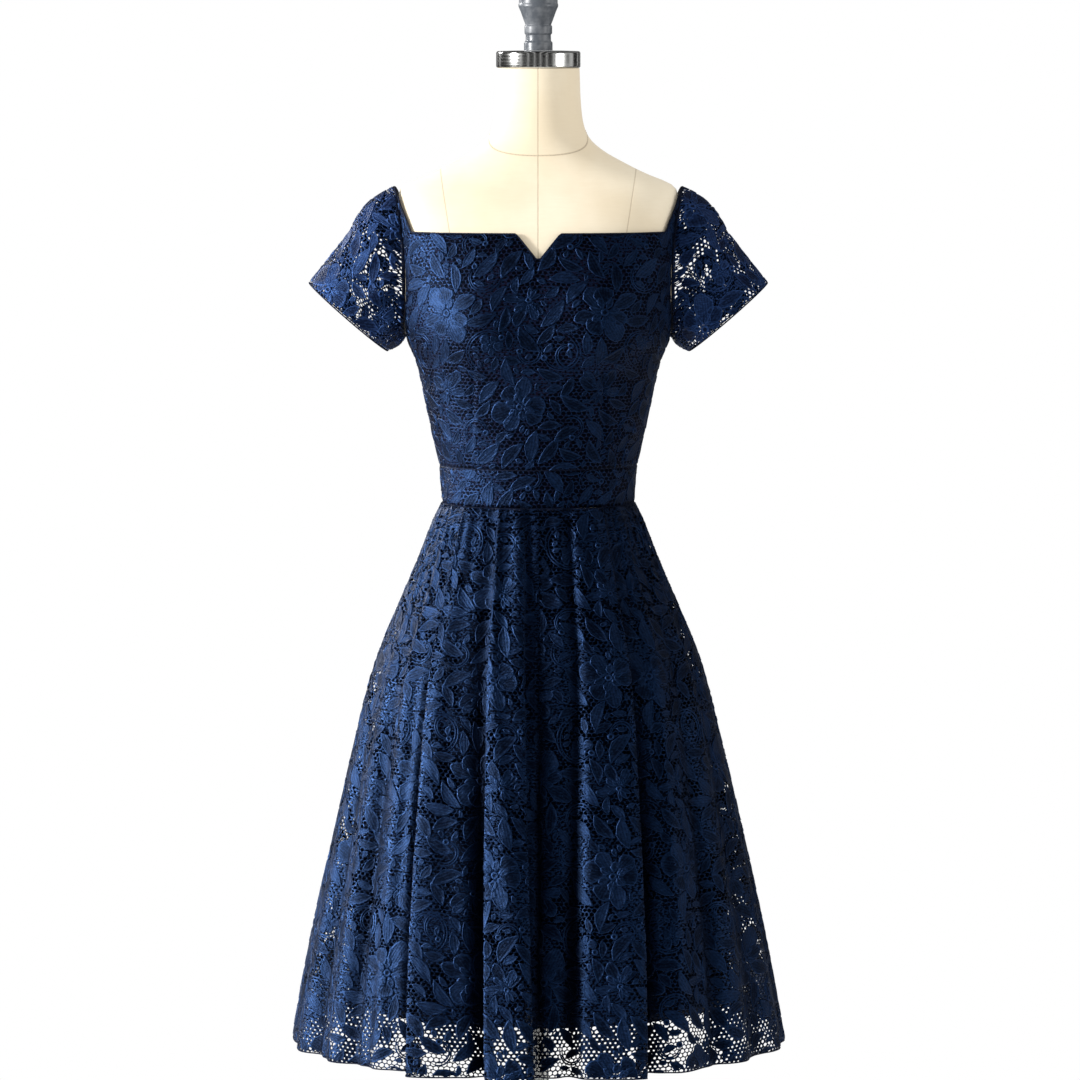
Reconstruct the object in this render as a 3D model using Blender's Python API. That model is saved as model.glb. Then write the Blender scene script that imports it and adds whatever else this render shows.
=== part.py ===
"""Knee-length lace cocktail dress standing on a limbless dress form.

Metres, +Z up, the front of the dress faces -Y, the wearer's left is +X.
The origin is the middle of the stand's underside. Each cloth piece is a thin
closed wall worked out from tables of level sections and of folds.
"""
import math

import bmesh
import bpy
from mathutils import Matrix, Vector

# Heights above the floor
HEM_HEIGHT = 0.385
LINING_HEM_HEIGHT = 0.435
WAIST_HEIGHT = 1.022
BAND_TOP_HEIGHT = 1.067
UNDERARM_HEIGHT = 1.217
NOTCH_HEIGHT = 1.312
BACK_NECK_HEIGHT = 1.330
NECKLINE_HEIGHT = 1.344
STRAP_HEIGHT = 1.385
SHOULDER_HEIGHT = 1.4005
ZIP_TOP_HEIGHT = 1.322
ZIP_FOOT_HEIGHT = 0.905

# Widths and walls
NOTCH_HALF_WIDTH = 0.026
NECK_CORNER_X = 0.150
SHOULDER_X = 0.1710
SEAM_GAP = 0.0003
MOUNTED_WALL = 0.0020   # lace mounted on its lining, worked as one cloth
LACE_WALL = 0.0012
LINING_WALL = 0.0010
TAPE_WALL = 0.0008
TAPE_HALF_WIDTH = 0.011
TAPE_GAP = 0.0006

SECTION_COLUMNS = ("height", "side", "front", "back", "squareness")

# Outer face of the bodice and waistband
BODICE_SECTIONS = (
    (1.0100, 0.1135, 0.0895, 0.0845, 2.00),
    (1.0450, 0.1155, 0.0910, 0.0855, 2.02),
    (1.0700, 0.1182, 0.0940, 0.0870, 2.05),
    (1.1300, 0.1312, 0.1050, 0.0960, 2.15),
    (1.1900, 0.1446, 0.1160, 0.1060, 2.20),
    (1.2170, 0.1555, 0.1200, 0.1100, 2.30),
    (1.2400, 0.1605, 0.1210, 0.1120, 2.40),
    (1.2900, 0.1640, 0.1150, 0.1128, 2.50),
    (1.3440, 0.1665, 0.0990, 0.1080, 2.50),
    (1.3750, 0.1700, 0.0840, 0.0980, 2.50),
    (1.3900, 0.1700, 0.0740, 0.0880, 2.50),
)

# Skin of the dress form, from its flat bottom to the top of its neck
FORM_SECTIONS = (
    (0.7600, 0.1280, 0.0880, 0.0980, 2.00),
    (0.7750, 0.1430, 0.0990, 0.1100, 2.00),
    (0.8200, 0.1570, 0.1070, 0.1210, 2.00),
    (0.8600, 0.1600, 0.1090, 0.1230, 2.00),
    (0.9100, 0.1480, 0.1050, 0.1130, 2.00),
    (0.9650, 0.1240, 0.0950, 0.0930, 2.00),
    (1.0220, 0.1095, 0.0850, 0.0780, 2.00),
    (1.0700, 0.1135, 0.0890, 0.0815, 2.05),
    (1.1300, 0.1268, 0.1000, 0.0905, 2.15),
    (1.1900, 0.1395, 0.1110, 0.1000, 2.20),
    (1.2400, 0.1540, 0.1160, 0.1060, 2.40),
    (1.2900, 0.1590, 0.1095, 0.1068, 2.50),
    (1.3440, 0.1620, 0.0935, 0.1020, 2.50),
    (1.3750, 0.1645, 0.0780, 0.0910, 2.50),
    (1.3920, 0.1630, 0.0660, 0.0790, 2.40),
    (1.4000, 0.1540, 0.0590, 0.0720, 2.35),
    (1.4110, 0.1270, 0.0545, 0.0680, 2.30),
    (1.4250, 0.0990, 0.0520, 0.0650, 2.20),
    (1.4370, 0.0780, 0.0505, 0.0625, 2.10),
    (1.4500, 0.0625, 0.0490, 0.0590, 2.05),
    (1.4650, 0.0545, 0.0482, 0.0550, 2.00),
    (1.4900, 0.0505, 0.0478, 0.0510, 2.00),
    (1.5347, 0.0485, 0.0480, 0.0480, 2.00),
)

# Outer face of the lace skirt between its folds
SKIRT_SECTIONS = (
    (1.0217, 0.1145, 0.0900, 0.0850, 2.00),
    (1.0040, 0.1230, 0.0990, 0.0950, 2.00),
    (0.9750, 0.1344, 0.1110, 0.1080, 2.00),
    (0.9460, 0.1458, 0.1220, 0.1200, 2.00),
    (0.9030, 0.1644, 0.1390, 0.1380, 2.00),
    (0.8600, 0.1830, 0.1550, 0.1570, 2.00),
    (0.8170, 0.1980, 0.1680, 0.1720, 2.00),
    (0.7300, 0.2196, 0.1880, 0.1950, 2.00),
    (0.6150, 0.2466, 0.2110, 0.2205, 2.00),
    (0.5000, 0.2720, 0.2330, 0.2440, 2.00),
    (0.3850, 0.2940, 0.2520, 0.2641, 2.00),
)

# Outer face of the skirt's lining
LINING_SECTIONS = (
    (1.0205, 0.1125, 0.0875, 0.0815, 2.00),
    (0.9750, 0.1300, 0.1050, 0.1030, 2.00),
    (0.9030, 0.1570, 0.1260, 0.1290, 2.00),
    (0.8600, 0.1700, 0.1370, 0.1400, 2.00),
    (0.7830, 0.1900, 0.1540, 0.1570, 2.00),
    (0.6800, 0.2080, 0.1720, 0.1740, 2.00),
    (0.5900, 0.2190, 0.1840, 0.1850, 2.00),
    (0.5000, 0.2250, 0.1930, 0.1930, 2.00),
    (0.4350, 0.2270, 0.1980, 0.1970, 2.00),
)

# Where the armhole runs round the bodice, in degrees from the middle front or back
ARMHOLE_COLUMNS = ("height", "front", "back")
ARMHOLE = (
    (1.217, 89.8, 89.8),
    (1.232, 79.5, 79.0),
    (1.262, 72.5, 72.0),
    (1.300, 70.0, 70.0),
    (1.344, 72.0, 71.5),
    (1.365, 73.5, 73.0),
    (1.385, 76.0, 75.5),
)

BUST = {"across": 0.077, "height": 1.232, "reach_across": 0.042, "reach_up": 0.050, "lift": 0.013}

# Each fold of the lace skirt: its middle at waist and at hem in degrees round from
# the middle front, half its width there, where its crest leans (-1 to 1) and its lift
FOLD_COLUMNS = ("waist", "hem", "reach", "lean", "waist_lift", "hem_lift")
FRONT_FOLDS = (
    (-72.0, -70.0, 8.0, 0.20, 0.0010, 0.0090),
    (-53.0, -51.0, 7.0, -0.30, 0.0015, 0.0110),
    (-40.0, -38.5, 4.8, -0.30, 0.0010, 0.0080),
    (-20.0, -18.5, 9.0, -0.82, 0.0025, 0.0200),
    (-6.0, -5.0, 5.0, -0.72, 0.0020, 0.0220),
    (-11.0, -3.0, 2.2, 0.30, 0.0030, 0.0030),
    (0.0, 0.0, 1.4, 0.00, -0.0005, -0.0080),
    (12.0, 11.5, 11.1, 0.80, 0.0025, 0.0230),
    (7.5, 6.2, 2.8, 0.10, -0.0020, -0.0090),
    (36.0, 35.0, 8.0, -0.20, 0.0015, 0.0120),
    (52.5, 51.0, 7.5, 0.30, 0.0010, 0.0090),
    (70.0, 69.0, 8.5, 0.20, 0.0010, 0.0080),
)
BACK_FOLDS = (
    (109.0, 108.0, 8.0, -0.20, 0.0010, 0.0090),
    (127.0, 127.0, 8.5, 0.30, 0.0015, 0.0120),
    (150.0, 151.0, 9.5, -0.80, 0.0025, 0.0210),
    (168.0, 168.0, 6.0, -0.60, 0.0020, 0.0160),
    (191.0, 192.0, 6.5, 0.60, 0.0020, 0.0150),
    (210.0, 209.0, 9.5, 0.80, 0.0025, 0.0220),
    (233.0, 233.0, 8.5, -0.30, 0.0015, 0.0120),
    (252.0, 252.0, 8.0, 0.20, 0.0010, 0.0090),
)
STEEP_LEAN = 0.5
BESIDE_ZIP = (177.5, 182.5)
FAN_DEGREES = 20.0      # how far the folds gather towards the sides at the waist
FAN_SHAPE = 0.7
FAN_DROP = 0.6

# Sleeve: cuff ring by its middle, its long half and how far it opens front to back
CUFF = {
    "middle": Vector((0.2245, 0.0, 1.2420)),
    "long_half": Vector((0.0465, 0.0, 0.0405)),
    "depth": 0.050,
    "back_drop": 0.006,
}
SLEEVE_SPREAD = 0.008   # how far the sleeve swells between armhole and cuff
SLEEVE_START_GAP = 0.0010
CORNER_DEGREES = 140.0  # the part of the sleeve's ring from underarm to neck corner

# Stand: radius and height of each turned edge
CAP_PROFILE = (
    (0.0478, 1.5350), (0.0496, 1.5362), (0.0496, 1.5530), (0.0482, 1.5546),
    (0.0300, 1.5552),
)
FINIAL_PROFILE = (
    (0.0168, 1.5555), (0.0168, 1.5650), (0.0150, 1.5664), (0.0148, 1.5740),
    (0.0163, 1.5752), (0.0163, 1.5840), (0.0150, 1.5852), (0.0172, 1.5910),
    (0.0208, 1.6010), (0.0225, 1.6050), (0.0234, 1.6068), (0.0234, 1.6090),
    (0.0228, 1.6110), (0.0226, 1.6240), (0.0190, 1.6300), (0.0110, 1.6340),
    (0.0110, 1.6370), (0.0170, 1.6440), (0.0195, 1.6540), (0.0170, 1.6650),
    (0.0090, 1.6725),
)
COLLAR_PROFILE = (
    (0.0210, 0.7300), (0.0225, 0.7315), (0.0225, 0.7490), (0.0330, 0.7550),
    (0.0330, 0.7597),
)
BASE_PROFILE = (
    (0.1880, 0.0000), (0.1900, 0.0020), (0.1900, 0.0140), (0.1860, 0.0180),
    (0.1200, 0.0230), (0.0500, 0.0290), (0.0240, 0.0400), (0.0220, 0.0480),
)
POLE_RADIUS = 0.0125
POLE_FOOT = 0.0483
POLE_TOP = 0.7297

# Zip slider and its pull tab, on the outside at the top of the middle back
SLIDER = {"width": 0.0066, "height": 0.0090, "thickness": 0.0022}
PULL_PIN = {"radius": 0.0005, "stand_off": 0.0056, "height": 1.3190}
PULL_TAB = {"width": 0.0042, "length": 0.0260, "thickness": 0.0010, "eye": 0.0008, "knuckle": 0.0014}

COLOURS = {
    "lace": ((0.030, 0.070, 0.180), 0.62, 0.0),
    "mounted": ((0.022, 0.052, 0.140), 0.66, 0.0),
    "lining": ((0.012, 0.016, 0.045), 0.50, 0.0),
    "canvas": ((0.800, 0.700, 0.540), 0.85, 0.0),
    "steel": ((0.620, 0.620, 0.610), 0.22, 1.0),
    "grey paint": ((0.140, 0.150, 0.165), 0.45, 0.0),
    "zip metal": ((0.050, 0.060, 0.110), 0.35, 1.0),
    "zip tape": ((0.015, 0.025, 0.070), 0.70, 0.0),
}


def clear_scene():
    for item in list(bpy.data.objects):
        bpy.data.objects.remove(item, do_unlink=True)


def make_materials():
    made = {}
    for name, (colour, roughness, metallic) in COLOURS.items():
        material = bpy.data.materials.new(name)
        material.use_nodes = True
        shader = material.node_tree.nodes["Principled BSDF"]
        shader.inputs["Base Color"].default_value = (*colour, 1.0)
        shader.inputs["Roughness"].default_value = roughness
        shader.inputs["Metallic"].default_value = metallic
        made[name] = material
    return made


def add_object(name, mesh, material, sharp_degrees=35.0):
    mesh.materials.append(material)
    mesh.shade_smooth()
    mesh.set_sharp_from_angle(angle=math.radians(sharp_degrees))
    item = bpy.data.objects.new(name, mesh)
    bpy.context.scene.collection.objects.link(item)
    return item


def mix(first, last, share):
    return first + (last - first) * share


def row_at(table, columns, height):
    """Every column of a table at one height, by smooth cubic steps between its rows."""
    rows = sorted(table)
    last = len(rows) - 1
    if height <= rows[0][0]:
        return dict(zip(columns, rows[0]))
    if height >= rows[last][0]:
        return dict(zip(columns, rows[last]))
    low = max(i for i in range(last) if rows[i][0] <= height)
    span = rows[low + 1][0] - rows[low][0]
    share = (height - rows[low][0]) / span
    found = {}
    for k, column in enumerate(columns):
        slopes = []
        for i in (low, low + 1):
            before, after = rows[max(i - 1, 0)], rows[min(i + 1, last)]
            slopes.append((after[k] - before[k]) / (after[0] - before[0]) * span)
        start, end = rows[low][k], rows[low + 1][k]
        found[column] = (
            start * (2 * share**3 - 3 * share**2 + 1)
            + slopes[0] * (share**3 - 2 * share**2 + share)
            + end * (3 * share**2 - 2 * share**3)
            + slopes[1] * (share**3 - share**2)
        )
    return found


def section_point(sections, height, degrees, lift=0.0):
    """A point of a level section; degrees run from the middle front towards +X."""
    row = row_at(sections, SECTION_COLUMNS, height)
    across, along = math.sin(math.radians(degrees)), math.cos(math.radians(degrees))
    power = 2.0 / row["squareness"]
    depth = row["front"] if along > 0 else row["back"]
    x = (row["side"] + lift) * math.copysign(abs(across) ** power, across)
    y = -(depth + lift) * math.copysign(abs(along) ** power, along)
    return Vector((x, y, height))


def figure_point(sections, height, degrees):
    """A section point with the bust's two soft rounds on the front."""
    point = section_point(sections, height, degrees)
    if math.cos(math.radians(degrees)) > 0:
        across = (abs(point.x) - BUST["across"]) / BUST["reach_across"]
        up = (height - BUST["height"]) / BUST["reach_up"]
        point.y -= BUST["lift"] * math.exp(-across * across - up * up)
    return point


def grid_normals(grid, closed):
    """Outward normals of a grid whose columns run towards +X seen from the front."""
    rows, columns = len(grid), len(grid[0])
    normals = []
    for i in range(rows):
        line = []
        for j in range(columns):
            before, after = (j - 1, (j + 1) % columns) if closed else (max(j - 1, 0), min(j + 1, columns - 1))
            along = grid[i][after] - grid[i][before]
            up = grid[max(i - 1, 0)][j] - grid[min(i + 1, rows - 1)][j]
            line.append(along.cross(up).normalized())
        normals.append(line)
    return normals


def cloth_wall(name, grid, thickness, material, closed=False):
    """A closed wall: grid is its outer face, rows from top to bottom."""
    rows, columns = len(grid), len(grid[0])
    normals = grid_normals(grid, closed)
    shape = bmesh.new()
    outer = [[shape.verts.new(grid[i][j]) for j in range(columns)] for i in range(rows)]
    inner = [
        [shape.verts.new(grid[i][j] - normals[i][j] * thickness) for j in range(columns)]
        for i in range(rows)
    ]
    steps = columns if closed else columns - 1
    for i in range(rows - 1):
        for j in range(steps):
            k = (j + 1) % columns
            shape.faces.new((outer[i][j], outer[i + 1][j], outer[i + 1][k], outer[i][k]))
            shape.faces.new((inner[i][k], inner[i + 1][k], inner[i + 1][j], inner[i][j]))
    for j in range(steps):
        k = (j + 1) % columns
        shape.faces.new((outer[0][j], outer[0][k], inner[0][k], inner[0][j]))
        shape.faces.new((outer[-1][k], outer[-1][j], inner[-1][j], inner[-1][k]))
    if not closed:
        for i in range(rows - 1):
            shape.faces.new((outer[i][0], inner[i][0], inner[i + 1][0], outer[i + 1][0]))
            shape.faces.new((outer[i + 1][-1], inner[i + 1][-1], inner[i][-1], outer[i][-1]))
    bmesh.ops.triangulate(shape, faces=shape.faces[:])
    bmesh.ops.recalc_face_normals(shape, faces=shape.faces[:])
    mesh = bpy.data.meshes.new(name)
    shape.to_mesh(mesh)
    shape.free()
    return add_object(name, mesh, material)


def closed_stack(name, rings, material):
    """A solid through level rings, with a flat fan at each end; rings run bottom to top."""
    shape = bmesh.new()
    loops = [[shape.verts.new(point) for point in ring] for ring in rings]
    count = len(rings[0])
    for lower, upper in zip(loops, loops[1:]):
        for j in range(count):
            k = (j + 1) % count
            shape.faces.new((lower[j], lower[k], upper[k], upper[j]))
    for loop in (loops[0], loops[-1]):
        middle = shape.verts.new(Vector((0.0, 0.0, loop[0].co.z)))
        for j in range(count):
            shape.faces.new((middle, loop[j], loop[(j + 1) % count]))
    bmesh.ops.triangulate(shape, faces=shape.faces[:])
    bmesh.ops.recalc_face_normals(shape, faces=shape.faces[:])
    mesh = bpy.data.meshes.new(name)
    shape.to_mesh(mesh)
    shape.free()
    return add_object(name, mesh, material)


def turned(name, profile, material, sides=32):
    rings = []
    for radius, height in profile:
        angles = [2 * math.pi * j / sides for j in range(sides)]
        rings.append([Vector((radius * math.cos(a), radius * math.sin(a), height)) for a in angles])
    return closed_stack(name, rings, material)


def neckline(x, neck_height, notch_height):
    """Height of the neck edge at x: straight, dipping to its notch, rising to the strap."""
    reach = abs(x)
    if reach < NOTCH_HALF_WIDTH:
        return mix(notch_height, neck_height, reach / NOTCH_HALF_WIDTH)
    if reach < NECK_CORNER_X:
        return neck_height
    edge = section_point(BODICE_SECTIONS, NECKLINE_HEIGHT, armhole_degrees(NECKLINE_HEIGHT, "front")).x
    return mix(neck_height, STRAP_HEIGHT, min((reach - NECK_CORNER_X) / (edge - NECK_CORNER_X), 1.0))


def armhole_degrees(height, face):
    if height <= UNDERARM_HEIGHT:
        return ARMHOLE[0][ARMHOLE_COLUMNS.index(face)]
    return row_at(ARMHOLE, ARMHOLE_COLUMNS, height)[face]


def bodice_panel(name, shares, face, notch_height, neck_height, material):
    """A bodice panel; shares of the armhole's angle run from -1 to 1 across the body."""
    bottom = BAND_TOP_HEIGHT + SEAM_GAP
    levels = (STRAP_HEIGHT, 1.362, 1.330, 1.296, 1.262, 1.235, 1.217, 1.185, 1.148, 1.108, bottom)
    grid = []
    for level in levels:
        up = (level - bottom) / (STRAP_HEIGHT - bottom)
        line = []
        for share in shares:
            edge = armhole_degrees(NECKLINE_HEIGHT, face)
            start = section_point(BODICE_SECTIONS, NECKLINE_HEIGHT, share * edge)
            height = mix(bottom, neckline(start.x, neck_height, notch_height), up)
            degrees = share * armhole_degrees(height, face)
            if face == "back":
                degrees = 180.0 - degrees
            line.append(figure_point(BODICE_SECTIONS, height, degrees))
        grid.append(line)
    return cloth_wall(name, grid, MOUNTED_WALL, material)


def seam_share(gap=SEAM_GAP):
    """The share of the armhole's angle that leaves half a seam gap at the middle back."""
    return math.degrees(gap / 0.085) / 90.0


def build_bodice(materials):
    reach = (0.035, 0.075, 0.11, 0.20, 0.33, 0.46, 0.58, 0.70, 0.80, 0.88, 0.94, 1.0)
    shares = tuple(-s for s in reversed(reach)) + (0.0,) + reach
    bodice_panel("bodice_front", shares, "front", NOTCH_HEIGHT, NECKLINE_HEIGHT, materials["mounted"])
    half = (seam_share(), 0.06, 0.15, 0.30, 0.45, 0.58, 0.70, 0.80, 0.88, 0.94, 1.0)
    for name, side in (("bodice_back_left", 1), ("bodice_back_right", -1)):
        ordered = tuple(reversed(half)) if side > 0 else tuple(-s for s in half)
        bodice_panel(name, ordered, "back", BACK_NECK_HEIGHT, BACK_NECK_HEIGHT, materials["mounted"])


def build_waistband(materials):
    top, foot = BAND_TOP_HEIGHT - SEAM_GAP, WAIST_HEIGHT + SEAM_GAP
    heights = (top, mix(top, foot, 0.5), foot)
    steps = 16
    spans = {
        "waistband_front": (-89.8, 89.8),
        "waistband_back_left": (90.2, 179.8),
        "waistband_back_right": (180.2, 269.8),
    }
    for name, (start, end) in spans.items():
        count = steps if name == "waistband_front" else steps // 2
        grid = [
            [section_point(BODICE_SECTIONS, z, mix(start, end, j / count)) for j in range(count + 1)]
            for z in heights
        ]
        cloth_wall(name, grid, MOUNTED_WALL, materials["mounted"])


def sleeve_start(turn):
    """The sleeve's first ring: 0 is the underarm, 180 the shoulder, the front comes first."""
    face = "front" if turn <= 180.0 else "back"
    sign = -1.0 if face == "front" else 1.0
    part = (turn if turn <= 180.0 else 360.0 - turn) / CORNER_DEGREES
    if part <= 1.0:
        height = mix(UNDERARM_HEIGHT, STRAP_HEIGHT, part**1.25)
        degrees = armhole_degrees(height, face)
        point = figure_point(BODICE_SECTIONS, height, degrees if face == "front" else 180.0 - degrees)
        under = max(0.0, 1.0 - part * 4.0)
        return point + Vector((SLEEVE_START_GAP, 0.0, SLEEVE_START_GAP * 1.6 * under))
    corner = sleeve_start(CORNER_DEGREES if face == "front" else 360.0 - CORNER_DEGREES)
    share = (180.0 - min(turn, 360.0 - turn)) / (180.0 - CORNER_DEGREES)
    crown = 1.0 - share**1.6
    return Vector((
        mix(corner.x, SHOULDER_X, 1.0 - share),
        sign * abs(corner.y) * share,
        mix(corner.z, SHOULDER_HEIGHT, crown),
    ))


def sleeve_end(turn):
    angle = math.radians(turn)
    point = CUFF["middle"] - CUFF["long_half"] * math.cos(angle)
    point.y -= CUFF["depth"] * math.sin(angle)
    point.z -= CUFF["back_drop"] * max(0.0, -math.sin(angle))
    return point


def build_sleeves(materials):
    turns, rows = 26, 5
    for name, side in (("sleeve_left", 1), ("sleeve_right", -1)):
        grid = []
        for i in range(rows + 1):
            down = i / rows
            swell = SLEEVE_SPREAD * math.sin(math.pi * down) * (1.0 - down * 0.4)
            line = []
            for j in range(turns):
                turn = 360.0 * j / turns
                point = sleeve_start(turn).lerp(sleeve_end(turn), down)
                angle = math.radians(turn)
                point += Vector((-0.3 * math.cos(angle), -math.sin(angle), -0.4 * math.cos(angle))) * swell
                line.append(Vector((side * point.x, point.y, point.z)))
            grid.append(line if side > 0 else list(reversed(line)))
        cloth_wall(name, grid, LACE_WALL, materials["lace"], closed=True)


def fan(degrees, down):
    """Angle of a cloth column that stands at these degrees on the hem."""
    middle = 0.0 if abs(degrees) <= 90.0 else 180.0
    away = degrees - middle
    gather = FAN_DEGREES * math.sin(math.pi * min(abs(away) / 90.0, 1.0) ** FAN_SHAPE)
    return middle + away + math.copysign(gather, away) * (1.0 - down**FAN_DROP)


def fold_lift(folds, degrees, down):
    lift = 0.0
    for waist, hem, reach, lean, waist_lift, hem_lift in folds:
        place = (degrees - mix(waist, hem, down)) / reach
        if abs(place) < 1.0:
            rise = (place + 1.0) / (lean + 1.0) if place < lean else (1.0 - place) / (1.0 - lean)
            lift += mix(waist_lift, hem_lift, down**0.9) * rise * rise * (3.0 - 2.0 * rise)
    return lift


def fold_columns(start, end, folds, step):
    """Even columns, with more of them where a fold turns sharply under."""
    count = round((end - start) / step)
    found = {round(mix(start, end, j / count), 2) for j in range(count + 1)}
    for _, hem, reach, lean, _, _ in folds:
        if abs(lean) >= STEEP_LEAN and start < hem < end:
            crest = hem + lean * reach
            foot = hem + math.copysign(reach, lean)
            found = {d for d in found if not min(crest, foot) - 1.2 < d < max(crest, foot) + 1.2}
            found |= {crest, foot, mix(crest, foot, 0.5), mix(foot, crest, 1.9)}
    found |= {d for d in BESIDE_ZIP if start < d < end}
    return sorted(found | {start, end})


def build_skirt(materials):
    spans = {
        "skirt_front": (-89.9, 89.9, FRONT_FOLDS),
        "skirt_back_left": (90.1, 179.92, BACK_FOLDS),
        "skirt_back_right": (180.08, 269.9, BACK_FOLDS),
    }
    downs = (0.0, 0.04, 0.10, 0.18, 0.29, 0.42, 0.60, 0.80, 1.0)
    top = WAIST_HEIGHT - SEAM_GAP
    for name, (start, end, folds) in spans.items():
        columns = fold_columns(start, end, folds, 6.0)
        grid = []
        for down in downs:
            height = mix(top, HEM_HEIGHT, down)
            grid.append([
                section_point(SKIRT_SECTIONS, height, fan(d, down), fold_lift(folds, d, down))
                for d in columns
            ])
        cloth_wall(name, grid, LACE_WALL, materials["lace"])


def build_lining(materials):
    spans = {
        "lining_front": (-89.9, 89.9, 20),
        "lining_back_left": (90.1, 179.92, 10),
        "lining_back_right": (180.08, 269.9, 10),
    }
    heights = (1.0205, 0.990, 0.945, 0.890, 0.820, 0.720, 0.590, LINING_HEM_HEIGHT)
    for name, (start, end, count) in spans.items():
        grid = [
            [section_point(LINING_SECTIONS, z, mix(start, end, j / count)) for j in range(count + 1)]
            for z in heights
        ]
        cloth_wall(name, grid, LINING_WALL, materials["lining"])


def zip_surface(height, x, inset):
    """A point just inside the middle back of the bodice or skirt."""
    sections = BODICE_SECTIONS if height > WAIST_HEIGHT else SKIRT_SECTIONS
    row = row_at(sections, SECTION_COLUMNS, height)
    share = abs(x) / row["side"]
    depth = row["back"] * (1.0 - share ** row["squareness"]) ** (1.0 / row["squareness"])
    return Vector((x, depth - inset, height))


def build_zip_tape(materials):
    heights = (ZIP_TOP_HEIGHT, 1.290, 1.250, 1.210, 1.160, 1.110, 1.067, 1.040, 1.022, 1.004,
               0.975, 0.945, ZIP_FOOT_HEIGHT)
    inset = MOUNTED_WALL + TAPE_GAP
    places = (TAPE_HALF_WIDTH, 0.0, -TAPE_HALF_WIDTH)
    grid = [[zip_surface(z, x, inset) for x in places] for z in heights]
    cloth_wall("zip_tape", grid, TAPE_WALL, materials["zip tape"])


def box_mesh(name, size, middle):
    shape = bmesh.new()
    bmesh.ops.create_cube(shape, size=1.0)
    for vert in shape.verts:
        vert.co = Vector(a * b for a, b in zip(vert.co, size)) + middle
    mesh = bpy.data.meshes.new(name)
    shape.to_mesh(mesh)
    shape.free()
    return mesh


def rod_mesh(name, radius, length, middle, sides=12):
    """A round rod along X."""
    shape = bmesh.new()
    bmesh.ops.create_cone(
        shape, cap_ends=True, segments=sides, radius1=radius, radius2=radius, depth=length
    )
    for vert in shape.verts:
        vert.co = Vector((vert.co.z, vert.co.y, -vert.co.x)) + middle
    mesh = bpy.data.meshes.new(name)
    shape.to_mesh(mesh)
    shape.free()
    return mesh


def join_solid(target, mesh, operation):
    """Joins or cuts one solid with a hidden helper."""
    helper = bpy.data.objects.new(mesh.name, mesh)
    bpy.context.scene.collection.objects.link(helper)
    helper.parent = target.parent
    helper.hide_render = True
    helper.display_type = "WIRE"
    modifier = target.modifiers.new(mesh.name, "BOOLEAN")
    modifier.operation = operation
    modifier.solver = "EXACT"
    modifier.object = helper


def build_zip_pull(materials):
    back = zip_surface(PULL_PIN["height"], 0.0, 0.0).y
    pin = Vector((0.0, back + PULL_PIN["stand_off"], PULL_PIN["height"]))
    body_middle = Vector((0.0, back + SLIDER["thickness"] / 2 + 4 * SEAM_GAP, pin.z - 0.001))
    body = box_mesh("zip_slider", (SLIDER["width"], SLIDER["thickness"], SLIDER["height"]), body_middle)
    slider = add_object("zip_slider", body, materials["zip metal"])
    cheek = (SLIDER["width"] - PULL_TAB["width"]) / 2 - 2 * SEAM_GAP
    for side in (-1, 1):
        middle = Vector((side * (SLIDER["width"] - cheek) / 2, pin.y - 0.0006, pin.z))
        join_solid(slider, box_mesh(f"cheek {side}", (cheek, 0.0036, 0.0026), middle), "UNION")
    span = SLIDER["width"] - cheek
    join_solid(slider, rod_mesh("pin", PULL_PIN["radius"], span, pin), "UNION")

    width = PULL_TAB["width"]
    knuckle = rod_mesh("zip_pull", PULL_TAB["knuckle"], width, pin, 16)
    tab = add_object("zip_pull", knuckle, materials["zip metal"])
    blade_middle = pin - Vector((0.0, 0.0, PULL_TAB["length"] / 2 + 0.0011))
    blade = box_mesh("blade", (width, PULL_TAB["thickness"], PULL_TAB["length"]), blade_middle)
    join_solid(tab, blade, "UNION")
    join_solid(tab, rod_mesh("eye", PULL_TAB["eye"], width * 2, pin), "DIFFERENCE")
    for item in (tab, *[m.object for m in tab.modifiers]):
        item.data.transform(Matrix.Translation(-pin))
        item.location = pin


def build_form(materials):
    sides = 36
    rings = []
    for height in [row[0] for row in FORM_SECTIONS]:
        rings.append([figure_point(FORM_SECTIONS, height, 360.0 * j / sides) for j in range(sides)])
    closed_stack("form_torso", rings, materials["canvas"])
    turned("form_neck_cap", CAP_PROFILE, materials["steel"], 40)
    turned("form_finial", FINIAL_PROFILE, materials["grey paint"], 28)
    turned("form_collar", COLLAR_PROFILE, materials["steel"], 28)
    turned("form_base", BASE_PROFILE, materials["steel"], 48)
    pole = ((POLE_RADIUS, POLE_FOOT), (POLE_RADIUS, POLE_TOP))
    turned("form_pole", pole, materials["steel"], 24)


def main():
    clear_scene()
    materials = make_materials()
    build_form(materials)
    build_bodice(materials)
    build_waistband(materials)
    build_sleeves(materials)
    build_skirt(materials)
    build_lining(materials)
    build_zip_tape(materials)
    build_zip_pull(materials)


main()
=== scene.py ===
import math
import random
import bmesh
import bpy
import numpy as np
from mathutils import Matrix, Vector


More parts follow.
